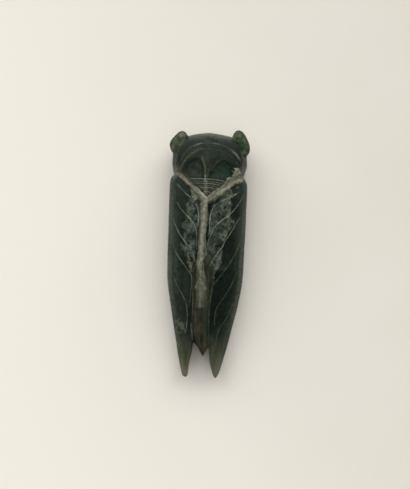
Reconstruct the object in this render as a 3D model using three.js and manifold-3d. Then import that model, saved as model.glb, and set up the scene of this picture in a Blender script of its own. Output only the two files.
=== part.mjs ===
// A cicada carved from one piece of dark green nephrite: eyes at the front corners,
// a domed thorax with two dished hollows, a raised Y (two arms and a stem), two
// folded wings that end in free tips, and a pointed abdomen between them.
// Millimetres, +Y towards the head, +X to the cicada's right as seen from above,
// +Z up, z = 0 on the flat belly.
import * as THREE from 'three';
import { mergeVertices } from 'three/addons/utils/BufferGeometryUtils.js';
import Module from 'manifold-3d';

// ---- driving dimensions -------------------------------------------------
const LENGTH = 65.0;            // wing tips to the tops of the eyes
const HALF_LENGTH = LENGTH / 2;
const RIDGE_TOP = 9.0;          // highest point, where the arms of the Y meet
const HEAD_FRONT_Y = 31.4;      // middle of the forehead
const SHOULDER_Y = 20.3;        // notch between thorax and wings
const FORK_Y = 14.0;            // where the arms of the Y meet
const ABDOMEN_TIP = [0.43, -26.9];
const Y_RAISE = 0.28;           // raised Y above the thorax
const WING_DROP = 0.45;         // wing below the ridge at the stem
const RIM_CHAMFER = 1.1;        // polished bevel along the outer edge
const BELLY_CHAMFER = 1.7;      // underside chamfer
const SIDE_LOW = 1.25;          // lower edge of the side wall
const TAIL_LIFT_FROM = -11.0;   // the underside leaves the ground behind this
const TAIL_LIFT = 1.15;         // lift at the wing tips
const DISH_DEPTH = 0.55;        // hollows of the thorax
const VEIN_WIDTH = 0.42;        // engraved wing veins
const VEIN_DEPTH = 0.14;
const ARC_WIDTH = 0.62;         // engraved arcs of the head
const ARC_DEPTH = 0.24;
const EYE_SEMI = [3.4, 1.95, 2.05]; // along, across and up
const EYE_Z = 4.05;

// ---- interpolation through named stations --------------------------------
// monotone cubic through [y, value] pairs, y rising
function curve(pairs) {
  const x = pairs.map((p) => p[0]);
  const v = pairs.map((p) => p[1]);
  const n = x.length;
  const d = [];
  for (let i = 0; i < n - 1; i += 1) d.push((v[i + 1] - v[i]) / (x[i + 1] - x[i]));
  const m = [d[0]];
  for (let i = 1; i < n - 1; i += 1) m.push(d[i - 1] * d[i] <= 0 ? 0 : (2 * d[i - 1] * d[i]) / (d[i - 1] + d[i]));
  m.push(d[n - 2]);
  return (t) => {
    if (t <= x[0]) return v[0];
    if (t >= x[n - 1]) return v[n - 1];
    let i = 0;
    while (t > x[i + 1]) i += 1;
    const h = x[i + 1] - x[i];
    const s = (t - x[i]) / h;
    const s2 = s * s;
    const s3 = s2 * s;
    return (2 * s3 - 3 * s2 + 1) * v[i] + (s3 - 2 * s2 + s) * h * m[i]
      + (-2 * s3 + 3 * s2) * v[i + 1] + (s3 - s2) * h * m[i + 1];
  };
}

// outer edges of head and thorax, without the eyes
const headLeft = curve([[SHOULDER_Y, -9.0], [21.5, -9.27], [23.5, -9.6], [25.5, -9.6], [27, -9.4], [28.4, -8.8], [29.5, -7.8], [30.3, -6.2], [30.75, -4.3], [31.2, -2.4], [HEAD_FRONT_Y, -0.9]]);
const headRight = curve([[SHOULDER_Y, 9.2], [21.5, 9.55], [23.5, 10.0], [25.5, 9.85], [27, 9.55], [28.4, 9.0], [29.6, 8.0], [30.5, 6.6], [30.95, 4.6], [31.2, 2.6], [HEAD_FRONT_Y, 0.9]]);
// outer edges of the wings
const wingLeft = curve([[-HALF_LENGTH, -4.15], [-32.25, -4.6], [-31.5, -4.98], [-28.5, -5.72], [-20.5, -7.29], [-12.5, -8.79], [-8.5, -9.48], [-5.5, -9.77], [2.5, -9.92], [17, -10.0], [18.6, -9.93], [19.5, -9.7], [20.3, -9.05]]);
const wingRight = curve([[-HALF_LENGTH, 4.0], [-32.1, 4.35], [-31.5, 4.64], [-28.5, 5.58], [-20.5, 7.51], [-12.5, 9.21], [-8.5, 9.82], [-5.5, 10.07], [2.5, 10.2], [15, 10.28], [18.3, 10.17], [19.5, 9.66], [20.3, 9.22]]);
// inner edges of the wings: along the stem, along the abdomen, then free to the tips
const innerLeft = curve([[-HALF_LENGTH, -3.6], [-32.1, -3.4], [-29.1, -3.13], [-25.25, -2.42], [-22.8, -2.3], [-17, -2.7], [-4.3, -3.0], [1.5, -1.5], [12.7, -1.2], [FORK_Y, -0.95]]);
const innerRight = curve([[-HALF_LENGTH, 3.75], [-32.1, 3.45], [-29.7, 2.65], [-27.85, 2.24], [-24, 1.85], [-17.2, 1.6], [-10.2, 1.92], [-4.1, 2.35], [1.5, 0.4], [12.7, 0.15], [FORK_Y, 0.05]]);
// abdomen outline behind the stem
const abdomenLeft = curve([[ABDOMEN_TIP[1], 0.33], [-24.3, -1.21], [-22.8, -2.35], [-17, -2.8], [-4.3, -3.1], [1.5, -1.6], [12.7, -1.3], [FORK_Y, -1.3]]);
const abdomenRight = curve([[ABDOMEN_TIP[1], 0.53], [-25.2, 1.25], [-24, 1.9], [-17.2, 1.7], [-10.2, 2.0], [-4.1, 2.45], [1.5, 0.5], [12.7, 0.3], [FORK_Y, 0.3]]);

// heights along the middle and along the outer rim
const ridge = curve([[-HALF_LENGTH, 2.7], [-27, 3.3], [-20, 4.7], [-10, 6.6], [0, 8.1], [9, RIDGE_TOP - 0.15], [FORK_Y, RIDGE_TOP - 0.05], [19, 8.6], [24, 7.9], [28, 6.6], [30.3, 5.1], [HEAD_FRONT_Y, 3.9]]);
const rim = curve([[-HALF_LENGTH, 2.35], [-27, 2.6], [-20, 3.15], [-10, 3.9], [0, 4.4], [15, 4.8], [22, 4.9], [28, 4.6], [HEAD_FRONT_Y, 3.6]]);
const lift = (y) => (y >= TAIL_LIFT_FROM ? 0 : TAIL_LIFT * ((TAIL_LIFT_FROM - y) / (HALF_LENGTH + TAIL_LIFT_FROM)) ** 2);

// dome over head and thorax; near the middle it also carries the stem
const domeHalf = curve([[SHOULDER_Y, 9.6], [24, 9.9], [27.5, 9.7], [29.6, 8.8], [HEAD_FRONT_Y, 6.5]]);
function dome(x, y) {
  const u = Math.min(1, Math.abs(x + 0.1) / domeHalf(y));
  return rim(y) + (ridge(y) - rim(y)) * (1 - u ** 2.3);
}
// a wing falls from the stem to its bevel in a slightly convex slope
function wingTop(side, x, y) {
  const inner = side < 0 ? innerLeft(y) : innerRight(y);
  const outer = side < 0 ? wingLeft(y) : wingRight(y);
  const v = Math.max(0, Math.min(1, (x - inner) / (outer - inner)));
  const top = ridge(y) - WING_DROP * Math.min(1, (y + HALF_LENGTH) / 14);
  const edge = rim(y) + 0.35;
  return top + (edge - top) * v ** 1.25;
}

// ---- solids ---------------------------------------------------------------
const wasm = await Module();
wasm.setup();

function toManifold(geometry) {
  geometry.deleteAttribute('normal');
  geometry.deleteAttribute('uv');
  const g = mergeVertices(geometry, 1e-5);
  return new wasm.Manifold(new wasm.Mesh({
    numProp: 3,
    vertProperties: new Float32Array(g.attributes.position.array),
    triVerts: new Uint32Array(g.index.array),
  }));
}

// closed skin through rings of equal length, capped at both ends, facing out
function loft(rings) {
  const n = rings[0].length;
  const points = rings.flat();
  const index = [];
  for (let r = 0; r < rings.length - 1; r += 1) {
    for (let i = 0; i < n; i += 1) {
      const j = (i + 1) % n;
      const a = r * n + i;
      const b = r * n + j;
      const c = a + n;
      const d = b + n;
      index.push(a, b, d, a, d, c);
    }
  }
  for (const end of [0, rings.length - 1]) {
    const ring = rings[end];
    const middle = [0, 1, 2].map((k) => ring.reduce((s, p) => s + p[k], 0) / n);
    points.push(middle);
    const hub = points.length - 1;
    for (let i = 0; i < n; i += 1) {
      const a = end * n + i;
      const b = end * n + ((i + 1) % n);
      if (end === 0) index.push(hub, b, a);
      else index.push(hub, a, b);
    }
  }
  let volume = 0;
  for (let t = 0; t < index.length; t += 3) {
    const [p, q, s] = [points[index[t]], points[index[t + 1]], points[index[t + 2]]];
    volume += p[0] * (q[1] * s[2] - q[2] * s[1]) + p[1] * (q[2] * s[0] - q[0] * s[2]) + p[2] * (q[0] * s[1] - q[1] * s[0]);
  }
  if (volume < 0) {
    for (let t = 0; t < index.length; t += 3) [index[t + 1], index[t + 2]] = [index[t + 2], index[t + 1]];
  }
  const g = new THREE.BufferGeometry();
  g.setAttribute('position', new THREE.BufferAttribute(new Float32Array(points.flat()), 3));
  g.setIndex(index);
  return toManifold(g);
}

const mix = (a, b, t) => a + (b - a) * t;
const stations = (list, steps) => list.slice(1).flatMap((end, i) => Array.from({ length: steps[i] }, (_, k) => mix(list[i], end, k / steps[i]))).concat(list[list.length - 1]);

// trunk: head, thorax, and the core that runs back to the abdomen's point
function trunkEdge(side, y) {
  if (y >= SHOULDER_Y) return side < 0 ? headLeft(y) : headRight(y);
  if (y >= FORK_Y) {
    const t = (y - FORK_Y) / (SHOULDER_Y - FORK_Y);
    return side < 0 ? mix(-1.3, -9.0, t ** 0.94) : mix(0.3, 9.2, t ** 0.94);
  }
  return side < 0 ? abdomenLeft(y) : abdomenRight(y);
}
const TOP_STEPS = 22;
function trunkRing(y, raise = 0, widen = 0) {
  const xl = trunkEdge(-1, y) - widen;
  const xr = trunkEdge(1, y) + widen;
  const mid = (xl + xr) / 2;
  const half = (xr - xl) / 2;
  const narrow = y < SHOULDER_Y;
  const roof = y < 1.5 ? Math.min(0.62, (1.5 - y) * 0.12) : 0; // the abdomen is roof-shaped
  const bottom = lift(y);
  const low = bottom + Math.min(SIDE_LOW, half * 0.5);
  const cut = Math.min(BELLY_CHAMFER, half * 0.45);
  const ring = [];
  for (let i = 0; i <= TOP_STEPS; i += 1) {
    const s = Math.sin((i / TOP_STEPS - 0.5) * Math.PI * 0.98) / Math.sin(Math.PI * 0.49);
    const x = mid + half * s;
    let z = dome(x, y) + raise - roof * Math.abs(s) ** 1.5;
    if (!narrow) z = Math.min(z, mix(rim(y) - 1.5, rim(y) + 2.8, Math.sqrt(Math.max(0, 1 - Math.abs(s)) / 0.24)));
    ring.push([x, y, Math.max(z, low + 0.3)]);
  }
  ring.push([xr, y, low], [xr - cut, y, bottom], [mid, y, bottom], [xl + cut, y, bottom], [xl, y, low]);
  return ring;
}
const trunkYs = stations([ABDOMEN_TIP[1], -22.8, -4.1, 3, FORK_Y, SHOULDER_Y, 27, 30.4, HEAD_FRONT_Y], [4, 6, 3, 2, 7, 8, 6, 3]);
const trunk = loft(trunkYs.map((y) => trunkRing(y)));

// wings
const WING_STEPS = 7;
function wing(side) {
  const ys = stations([-HALF_LENGTH, -31.2, -22.8, -4.3, FORK_Y, 18.3, SHOULDER_Y], [4, 5, 8, 8, 2, 4]);
  return loft(ys.map((y) => {
    const outer = side < 0 ? wingLeft(y) : wingRight(y);
    const free = y < -22.8;
    let inner = side < 0 ? innerLeft(y) : innerRight(y);
    if (!free && y < FORK_Y) inner -= side * 0.4;
    if (y >= FORK_Y) {
      const t = (y - FORK_Y) / (SHOULDER_Y - FORK_Y);
      inner = side < 0 ? mix(-0.9, -8.5, t) : mix(0.0, 8.7, t);
    }
    const span = Math.abs(outer - inner);
    const bottom = lift(y);
    const bevel = Math.min(RIM_CHAMFER, span * 0.3);
    const cut = Math.min(BELLY_CHAMFER * 1.5, span * 0.35);
    const edge = wingTop(side, outer, y);
    const low = bottom + Math.min(SIDE_LOW, 0.55 + span * 0.1);
    const ring = [];
    ring.push([inner, y, free ? bottom + 0.35 : bottom]);
    ring.push([inner, y, wingTop(side, inner, y) - (free ? 0.3 : 0)]);
    for (let i = 1; i <= WING_STEPS; i += 1) {
      const x = mix(inner, outer - side * bevel, i / WING_STEPS);
      ring.push([x, y, wingTop(side, x, y)]);
    }
    ring.push([outer - side * bevel * 0.3, y, edge - 0.55]);
    ring.push([outer, y, Math.max(low + 0.15, edge - 1.15)]);
    ring.push([outer, y, low]);
    ring.push([outer - side * cut, y, bottom + 0.12]);
    ring.push([inner + side * Math.min(0.4, span * 0.2), y, bottom]);
    return ring;
  }));
}

// raised Y: the outline of its arms and stem cut out of a trunk that stands higher
const Y_OUTLINE = [
  [-8.9, 20.75], [-6.2, 19.35], [-4.1, 17.7], [-2.4, 16.4], [-0.45, 14.9],
  [2.05, 16.55], [4.2, 18.65], [6.0, 20.5], [6.7, 22.5], [7.9, 21.4], [9.2, 20.7],
  [9.1, 19.75], [7.0, 18.2], [5.3, 16.95], [3.3, 15.25], [0.8, 13.4],
  [0.38, 12.6], [0.38, 2.3], [0.6, -8.0], [0.1, -13.5],
  [-1.4, -13.5], [-1.82, -8.0], [-1.62, 2.3], [-1.42, 12.6], [-1.0, 13.5],
  [-2.2, 14.9], [-4.1, 16.75], [-6.4, 18.65], [-8.95, 20.15],
];
const yShape = new THREE.Shape(Y_OUTLINE.map(([x, y]) => new THREE.Vector2(x, y)));
const yPrism = toManifold(new THREE.ExtrudeGeometry(yShape, { depth: 9, bevelEnabled: false }).translate(0, 0, 2.4));
function yBlank(y) {
  const ring = [];
  const fade = Math.min(1, Math.max(0.15, (y + 13.5) / 5));
  for (let i = 0; i <= 22; i += 1) {
    const x = mix(-9.6, 9.8, i / 22);
    ring.push([x, y, Math.max(2.9, dome(x, y) + Y_RAISE * fade)]);
  }
  ring.push([9.8, y, 2.2], [-9.6, y, 2.2]);
  return ring;
}
const raisedY = loft(stations([-13.6, 2.3, 13.0, 23], [4, 4, 14]).map(yBlank)).intersect(yPrism);

// eyes: blunt lobes set across the front corners
function eye([cx, cy], degrees) {
  const lobe = new THREE.SphereGeometry(1, 18, 12);
  const p = lobe.attributes.position;
  for (let i = 0; i < p.count; i += 1) { // blunter ends than an ellipsoid
    const x = p.getX(i);
    p.setX(i, Math.sign(x) * Math.abs(x) ** 0.9);
  }
  lobe.scale(...EYE_SEMI);
  lobe.rotateZ(THREE.MathUtils.degToRad(degrees));
  lobe.translate(cx, cy, EYE_Z);
  return toManifold(lobe);
}

// hollows of the thorax: shallow tilted ellipsoids
function dish(cx, cy, a, b) {
  const g = new THREE.SphereGeometry(1, 20, 12);
  g.scale(a, b, DISH_DEPTH);
  const e = 0.4;
  g.rotateX(Math.atan((dome(cx, cy + e) - dome(cx, cy - e)) / (2 * e)));
  g.rotateY(-Math.atan((dome(cx + e, cy) - dome(cx - e, cy)) / (2 * e)));
  g.translate(cx, cy, dome(cx, cy) + 0.12);
  return toManifold(g);
}

// engraved line: a V-shaped cut that follows the surface under it
function engrave(points, width, depth, height, sign = 1) {
  const rings = points.map(([x, y], i) => {
    const a = points[Math.max(0, i - 1)];
    const b = points[Math.min(points.length - 1, i + 1)];
    const l = Math.hypot(b[0] - a[0], b[1] - a[1]);
    const nx = (-(b[1] - a[1]) / l) * width * 0.5;
    const ny = ((b[0] - a[0]) / l) * width * 0.5;
    const taper = i === 0 || i === points.length - 1 ? 0.35 : 1;
    return [
      [x + nx, y + ny, height(x + nx, y + ny) + sign * 0.06],
      [x - nx, y - ny, height(x - nx, y - ny) + sign * 0.06],
      [x, y, height(x, y) - sign * depth * taper],
    ];
  });
  return loft(rings);
}
const arc = (radiusX, radiusY, cy, from, to, n) => Array.from({ length: n + 1 }, (_, i) => {
  const t = THREE.MathUtils.degToRad(mix(from, to, i / n));
  return [0.3 + radiusX * Math.cos(t), cy + radiusY * Math.sin(t)];
});
const arcs = [arc(8.2, 7.4, 21.1, 158, 22, 14), arc(7.7, 6.4, 20.8, 170, 14, 14)];
const bars = [[-4.7, 4.5, 19.05], [-3.9, 3.9, 18.25], [-3.1, 2.9, 17.45], [-2.1, 1.7, 16.6]];

// veins: each runs from the outer bevel inwards and bends alongside the stem
const VEINS = [
  [-1, [-8.45, 18.2], [-6.06, 16.1], [-3.5, 13.7], [-2.3, 11.3], [-2.2, 6.6]],
  [-1, [-8.04, 13.0], [-5.62, 10.1], [-3.3, 7.4], [-2.35, 4.6], [-2.22, 0.4]],
  [-1, [-8.9, 9.15], [-7.4, 6.0], [-5.2, 3.0], [-3.2, 0.4], [-2.7, -2.6]],
  [-1, [-9.0, 3.4], [-7.5, 0.1], [-5.07, -3.3], [-3.35, -6.2], [-3.55, -13.2]],
  [-1, [-8.2, -6.1], [-6.4, -9.3], [-4.7, -12.4], [-4.05, -15.9], [-4.35, -21.0]],
  [1, [8.0, 16.05], [4.0, 14.1], [1.9, 12.4], [0.95, 9.8], [1.0, 4.9]],
  [1, [9.0, 14.7], [7.0, 11.7], [3.5, 8.1], [1.3, 5.3], [0.55, 0.5]],
  [1, [8.7, 10.1], [6.9, 7.2], [4.9, 2.7], [2.4, -0.5], [1.15, -3.0]],
  [1, [8.85, 4.4], [8.1, 1.6], [6.4, -2.0], [4.4, -4.75], [2.6, -7.1]],
  [1, [8.4, -4.7], [7.0, -8.0], [4.7, -11.8], [3.25, -14.8], [3.2, -18.9]],
  [1, [7.7, -12.8], [6.6, -15.6], [4.9, -18.4], [3.85, -21.3], [3.7, -24.1]],
];
const veins = VEINS.map(([side, ...through]) => {
  const path = new THREE.CatmullRomCurve3(through.map(([x, y]) => new THREE.Vector3(x, y, 0)), false, 'centripetal');
  return engrave(path.getPoints(8).map((p) => [p.x, p.y]), VEIN_WIDTH, VEIN_DEPTH, (x, y) => wingTop(side, x, y));
});

// plainer underside: abdomen rings and two lines that meet under the mouth
const under = (x, y) => lift(y);
const bellyCuts = [-1.0, -5.0, -9.0, -13.0, -17.0].map((y) => {
  const half = Math.min(3.6, 2.2 + (y + 22) * 0.1);
  return engrave([[-half - 0.3, y + 0.5], [-0.3, y - 0.35], [half - 0.3, y + 0.5]], 0.8, 0.3, under, -1);
});
const mouth = [[-1, -6.2], [1, 6.2]].map(([s, x]) => engrave([[x, 26.5], [x * 0.55, 22.6], [s * 0.6, 19.8]], 0.8, 0.3, under, -1));

const { Manifold } = wasm;
const solid = Manifold.union([
  trunk, wing(-1), wing(1), raisedY,
  eye([-8.07, 28.9], 59), eye([8.1, 29.39], 120),
]).subtract(Manifold.union([
  dish(-3.7, 21.75, 2.7, 2.65), dish(3.3, 21.75, 2.95, 2.65),
  ...arcs.map((a) => engrave(a, ARC_WIDTH, ARC_DEPTH, dome)),
  ...bars.map(([x0, x1, y]) => engrave([[x0, y], [x0 * 0.5, y - 0.1], [-0.5, y - 0.05], [x1 * 0.5, y - 0.15], [x1, y - 0.4]], 0.42, 0.2, dome)),
  ...veins, ...bellyCuts, ...mouth,
]));

const out = solid.getMesh();
const geometry = new THREE.BufferGeometry();
const np = out.numProp;
const pos = new Float32Array((out.vertProperties.length / np) * 3);
for (let i = 0; i < pos.length / 3; i += 1) {
  for (let k = 0; k < 3; k += 1) pos[i * 3 + k] = out.vertProperties[i * np + k];
}
geometry.setAttribute('position', new THREE.BufferAttribute(pos, 3));
geometry.setIndex(Array.from(out.triVerts));
geometry.computeVertexNormals();

const nephrite = new THREE.MeshStandardMaterial({ color: new THREE.Color('#2f3a31'), roughness: 0.32, metalness: 0.0 });
const cicada = new THREE.Mesh(geometry, nephrite);
cicada.name = 'cicada';

const group = new THREE.Group();
group.name = 'jade_cicada';
group.add(cicada);
export default group;
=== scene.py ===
"""A cicada carved from dark green nephrite, lying on a pale ground and seen from straight above.

The stone is one closed mesh. Its top, underside and outline are worked out as maps over the ground plane (millimetres, +Y to the head), turned into a surface, thinned, and given the exact normals of the maps. Masks for veins, altered
stone, rust and thin places are stored on its vertices and drive one procedural material."""

import math

import bpy
import numpy as np
from mathutils import Matrix


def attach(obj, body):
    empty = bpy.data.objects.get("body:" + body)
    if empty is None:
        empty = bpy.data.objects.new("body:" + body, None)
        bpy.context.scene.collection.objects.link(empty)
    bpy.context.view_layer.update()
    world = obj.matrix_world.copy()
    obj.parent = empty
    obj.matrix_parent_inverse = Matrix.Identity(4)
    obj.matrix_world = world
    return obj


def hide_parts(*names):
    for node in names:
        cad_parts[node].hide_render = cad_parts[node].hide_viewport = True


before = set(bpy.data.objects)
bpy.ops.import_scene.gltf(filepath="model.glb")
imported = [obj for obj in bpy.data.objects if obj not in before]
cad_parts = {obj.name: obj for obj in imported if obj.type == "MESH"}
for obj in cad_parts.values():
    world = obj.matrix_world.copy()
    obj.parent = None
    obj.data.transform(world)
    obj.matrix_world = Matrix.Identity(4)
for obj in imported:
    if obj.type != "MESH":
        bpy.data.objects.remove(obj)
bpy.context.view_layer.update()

MM = 0.001

# ---- sizes in millimetres ----------------------------------------------
HALF = 32.5  # half the length, wing tips to eye tops
FRONT = 31.75  # middle of the forehead
SHOULDER = 20.3
FORK = 14.0
WING_DROP = 0.45
Y_RAISE = 0.28
PITCH = 0.125  # of the surface's grid
MAP = 0.06  # of the maps
KEEP = 190000  # triangles


# ---- helpers ------------------------------------------------------------
def curve(pairs):
    """Monotone cubic through (position, value) pairs, for arrays."""
    x = np.array([p[0] for p in pairs], float)
    v = np.array([p[1] for p in pairs], float)
    d = np.diff(v) / np.diff(x)
    m = np.empty(len(x))
    m[0], m[-1] = d[0], d[-1]
    a, b = d[:-1], d[1:]
    flat = a * b <= 0
    m[1:-1] = np.where(flat, 0, 2 * a * b / np.where(flat, 1, a + b))

    def at(t):
        t = np.clip(t, x[0], x[-1])
        i = np.clip(np.searchsorted(x, t, side="right") - 1, 0, len(x) - 2)
        h = x[i + 1] - x[i]
        s = (t - x[i]) / h
        return (
            (2 * s**3 - 3 * s**2 + 1) * v[i]
            + (s**3 - 2 * s**2 + s) * h * m[i]
            + (3 * s**2 - 2 * s**3) * v[i + 1]
            + (s**3 - s**2) * h * m[i + 1]
        )

    return at


def smooth(t, a, b):
    s = np.clip((t - a) / (b - a), 0, 1)
    return s * s * (3 - 2 * s)


def mix(a, b, t):
    return a + (b - a) * t


def spline(points, step=0.25):
    """A centripetal-like smooth path through points, resampled."""
    p = np.array(points, float)
    if len(p) == 2:
        n = max(2, int(np.linalg.norm(p[1] - p[0]) / step) + 1)
        return p[0] + (p[1] - p[0]) * np.linspace(0, 1, n)[:, None]
    q = np.vstack([2 * p[0] - p[1], p, 2 * p[-1] - p[-2]])
    out = []
    for i in range(1, len(q) - 2):
        n = max(2, int(np.linalg.norm(q[i + 1] - q[i]) / step))
        t = np.linspace(0, 1, n, endpoint=False)[:, None]
        out.append(
            0.5
            * (
                2 * q[i]
                + (q[i + 1] - q[i - 1]) * t
                + (2 * q[i - 1] - 5 * q[i] + 4 * q[i + 1] - q[i + 2]) * t**2
                + (3 * q[i] - q[i - 1] - 3 * q[i + 1] + q[i + 2]) * t**3
            )
        )
    out.append(p[-1:])
    return np.vstack(out)


def noise2(x, y, scale, seed):
    """Smooth value noise from -1 to 1, with features about scale wide."""
    rng = np.random.default_rng(seed)
    table = rng.uniform(-1, 1, (256, 256))
    u, w = x / scale + 91.7, y / scale + 37.3
    i, j = np.floor(u).astype(int), np.floor(w).astype(int)
    fu, fw = u - i, w - j
    fu, fw = fu * fu * (3 - 2 * fu), fw * fw * (3 - 2 * fw)
    a = table[i % 256, j % 256]
    b = table[(i + 1) % 256, j % 256]
    c = table[i % 256, (j + 1) % 256]
    d = table[(i + 1) % 256, (j + 1) % 256]
    return mix(mix(a, b, fu), mix(c, d, fu), fw)


def fbm(x, y, scale, seed, octaves=4):
    total, size = 0.0, 0.0
    for k in range(octaves):
        w = 0.55**k
        total = total + w * noise2(x, y, scale * 0.5**k, seed + 17 * k)
        size += w
    return total / size


# ---- the maps' grid -------------------------------------------------------
xs = np.arange(-12.6, 12.6 + MAP / 2, MAP)
ys = np.arange(-34.2, 34.2 + MAP / 2, MAP)
X, Y = np.meshgrid(xs, ys)


def window(points, pad):
    p = np.asarray(points)
    i0, i1 = np.searchsorted(xs, [p[:, 0].min() - pad, p[:, 0].max() + pad])
    j0, j1 = np.searchsorted(ys, [p[:, 1].min() - pad, p[:, 1].max() + pad])
    return slice(j0, j1), slice(i0, i1)


def line_distance(path, pad=1.2):
    """(distance to the path, how far along it from 0 to 1), far off the path 9."""
    path = np.asarray(path)
    far, along = np.full(X.shape, 9.0), np.zeros(X.shape)
    win = window(path, pad)
    x, y = X[win], Y[win]
    best, at = np.full(x.shape, 9.0), np.zeros(x.shape)
    n = len(path) - 1
    for k in range(n):
        a, b = path[k], path[k + 1]
        d = b - a
        t = np.clip(
            ((x - a[0]) * d[0] + (y - a[1]) * d[1]) / max(d @ d, 1e-9), 0, 1
        )
        r = np.hypot(x - a[0] - t * d[0], y - a[1] - t * d[1])
        near = r < best
        best = np.where(near, r, best)
        at = np.where(near, (k + t) / n, at)
    far[win], along[win] = best, at
    return far, along


def inside_distance(outline, x, y):
    """Signed distance to a closed outline, positive inside."""
    outline = np.asarray(outline)
    best, odd = np.full(x.shape, 1e9), np.zeros(x.shape, bool)
    for a, b in zip(outline, np.roll(outline, -1, 0)):
        d = b - a
        t = np.clip(
            ((x - a[0]) * d[0] + (y - a[1]) * d[1]) / max(d @ d, 1e-12), 0, 1
        )
        best = np.minimum(
            best, (x - a[0] - t * d[0]) ** 2 + (y - a[1] - t * d[1]) ** 2
        )
        if a[1] != b[1]:
            cross = (a[1] > y) != (b[1] > y)
            odd ^= cross & (x < a[0] + (y - a[1]) * d[0] / d[1])
    return np.where(odd, 1, -1) * np.sqrt(best)


def area_distance(outline, pad=2.5):
    """The same on the maps, -9 far outside."""
    out = np.full(X.shape, -9.0)
    win = window(outline, pad)
    out[win] = inside_distance(outline, X[win], Y[win])
    return out


def sample(grid, x, y):
    """Smooth reading of a map between its points."""
    u = np.clip((x - xs[0]) / MAP, 0, len(xs) - 1.001)
    w = np.clip((y - ys[0]) / MAP, 0, len(ys) - 1.001)
    i, j = u.astype(int), w.astype(int)
    fu, fw = u - i, w - j
    return mix(
        mix(grid[j, i], grid[j, i + 1], fu),
        mix(grid[j + 1, i], grid[j + 1, i + 1], fu),
        fw,
    )


# ---- outline ----------------------------------------------------------------
head_l = curve([(SHOULDER, -9.0), (21.5, -9.27), (23.5, -9.6), (25.5, -9.6), (27, -9.4), (28.4, -8.8), (29.5, -7.9), (30.5, -6.4), (31.0, -4.8), (31.35, -3.2), (31.6, -1.9), (FRONT, -0.5)])
head_r = curve([(SHOULDER, 9.2), (21.5, 9.55), (23.5, 10.0), (25.5, 9.85), (27, 9.55), (28.4, 9.0), (29.6, 8.0), (30.6, 6.7), (31.1, 5.0), (31.35, 3.2), (31.6, 1.4), (FRONT, 0.4)])
wing_l = curve([(-HALF, -4.0), (-32.25, -4.6), (-31.5, -4.98), (-28.5, -5.72), (-20.5, -7.29), (-12.5, -8.79), (-8.5, -9.48), (-5.5, -9.77), (2.5, -9.92), (17, -10.0), (18.6, -9.93), (19.5, -9.7), (SHOULDER, -9.05)])
wing_r = curve([(-HALF, 3.95), (-32.1, 4.35), (-31.5, 4.64), (-28.5, 5.58), (-20.5, 7.51), (-12.5, 9.21), (-8.5, 9.82), (-5.5, 10.07), (2.5, 10.2), (15, 10.28), (18.3, 10.17), (19.5, 9.66), (SHOULDER, 9.22)])
inner_l = curve([(-HALF, -3.75), (-32.1, -3.4), (-29.1, -3.13), (-25.25, -2.42), (-22.8, -2.3), (-17, -2.7), (-4.3, -3.0), (1.5, -1.85), (8, -1.85), (12.7, -1.4), (FORK, -0.95)])
inner_r = curve([(-HALF, 3.8), (-32.1, 3.45), (-29.7, 2.65), (-27.85, 2.24), (-24, 1.85), (-17.2, 1.6), (-10.2, 1.92), (-4.1, 2.35), (1.5, 0.25), (8, 0.0), (12.7, 0.1), (FORK, 0.05)])
abdomen_l = curve([(-26.9, 0.35), (-24.3, -1.21), (-22.8, -2.35), (-17, -2.8), (-4.3, -3.1), (1.5, -1.6), (12.7, -1.3)])
abdomen_r = curve([(-26.9, 0.5), (-25.2, 1.25), (-24, 1.9), (-17.2, 1.7), (-10.2, 2.0), (-4.1, 2.45), (1.5, 0.5), (12.7, 0.3)])

ridge = curve([(-HALF, 2.7), (-27, 3.3), (-20, 4.7), (-10, 6.6), (0, 8.1), (9, 8.85), (FORK, 8.95), (19, 8.6), (24, 7.9), (28, 6.6), (30.3, 5.1), (FRONT, 3.9)])
rim = curve([(-HALF, 2.35), (-27, 2.6), (-20, 3.15), (-10, 3.9), (0, 4.4), (15, 4.8), (22, 4.9), (28, 4.6), (FRONT, 3.6)])
dome_half = curve([(SHOULDER, 9.6), (24, 9.9), (27.5, 9.7), (29.6, 8.8), (FRONT, 6.5)])


def outline():
    def side(f, a, b, step=0.3):
        n = max(2, int(abs(b - a) / step))
        t = np.linspace(a, b, n)
        return np.column_stack([f(t), t])

    return np.vstack([
        side(head_r, FRONT, SHOULDER), side(wing_r, SHOULDER - 0.05, -HALF),
        side(inner_r, -HALF, -24.05), side(abdomen_r, -24.1, -26.9),
        side(abdomen_l, -26.9, -22.9), side(inner_l, -22.95, -HALF),
        side(wing_l, -HALF, SHOULDER - 0.05), side(head_l, SHOULDER, FRONT),
    ])


coarse = 0.15
cx, cy = np.arange(-12.8, 12.9, coarse), np.arange(-34.4, 34.5, coarse)
CX, CY = np.meshgrid(cx, cy)
rough = inside_distance(outline(), CX, CY)
u, w = (X - cx[0]) / coarse, (Y - cy[0]) / coarse
i, j = u.astype(int), w.astype(int)
fu, fw = u - i, w - j
D = mix(mix(rough[j, i], rough[j, i + 1], fu), mix(rough[j + 1, i], rough[j + 1, i + 1], fu), fw)
# a hand-worked edge wanders by a few hundredths of a millimetre
D = D + 0.05 * fbm(X, Y, 3.2, 3, 2)

# ---- heights ------------------------------------------------------------------
yc = ys[:, None]
RIDGE, RIM = ridge(yc), rim(yc)
LIFT = np.where(yc < -11, 1.15 * ((-11 - yc) / 21.5) ** 2, 0.0)

dome = RIM + (RIDGE - RIM) * (1 - np.clip(np.abs(X + 0.1) / dome_half(yc), 0, 1) ** 2.3)


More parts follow.
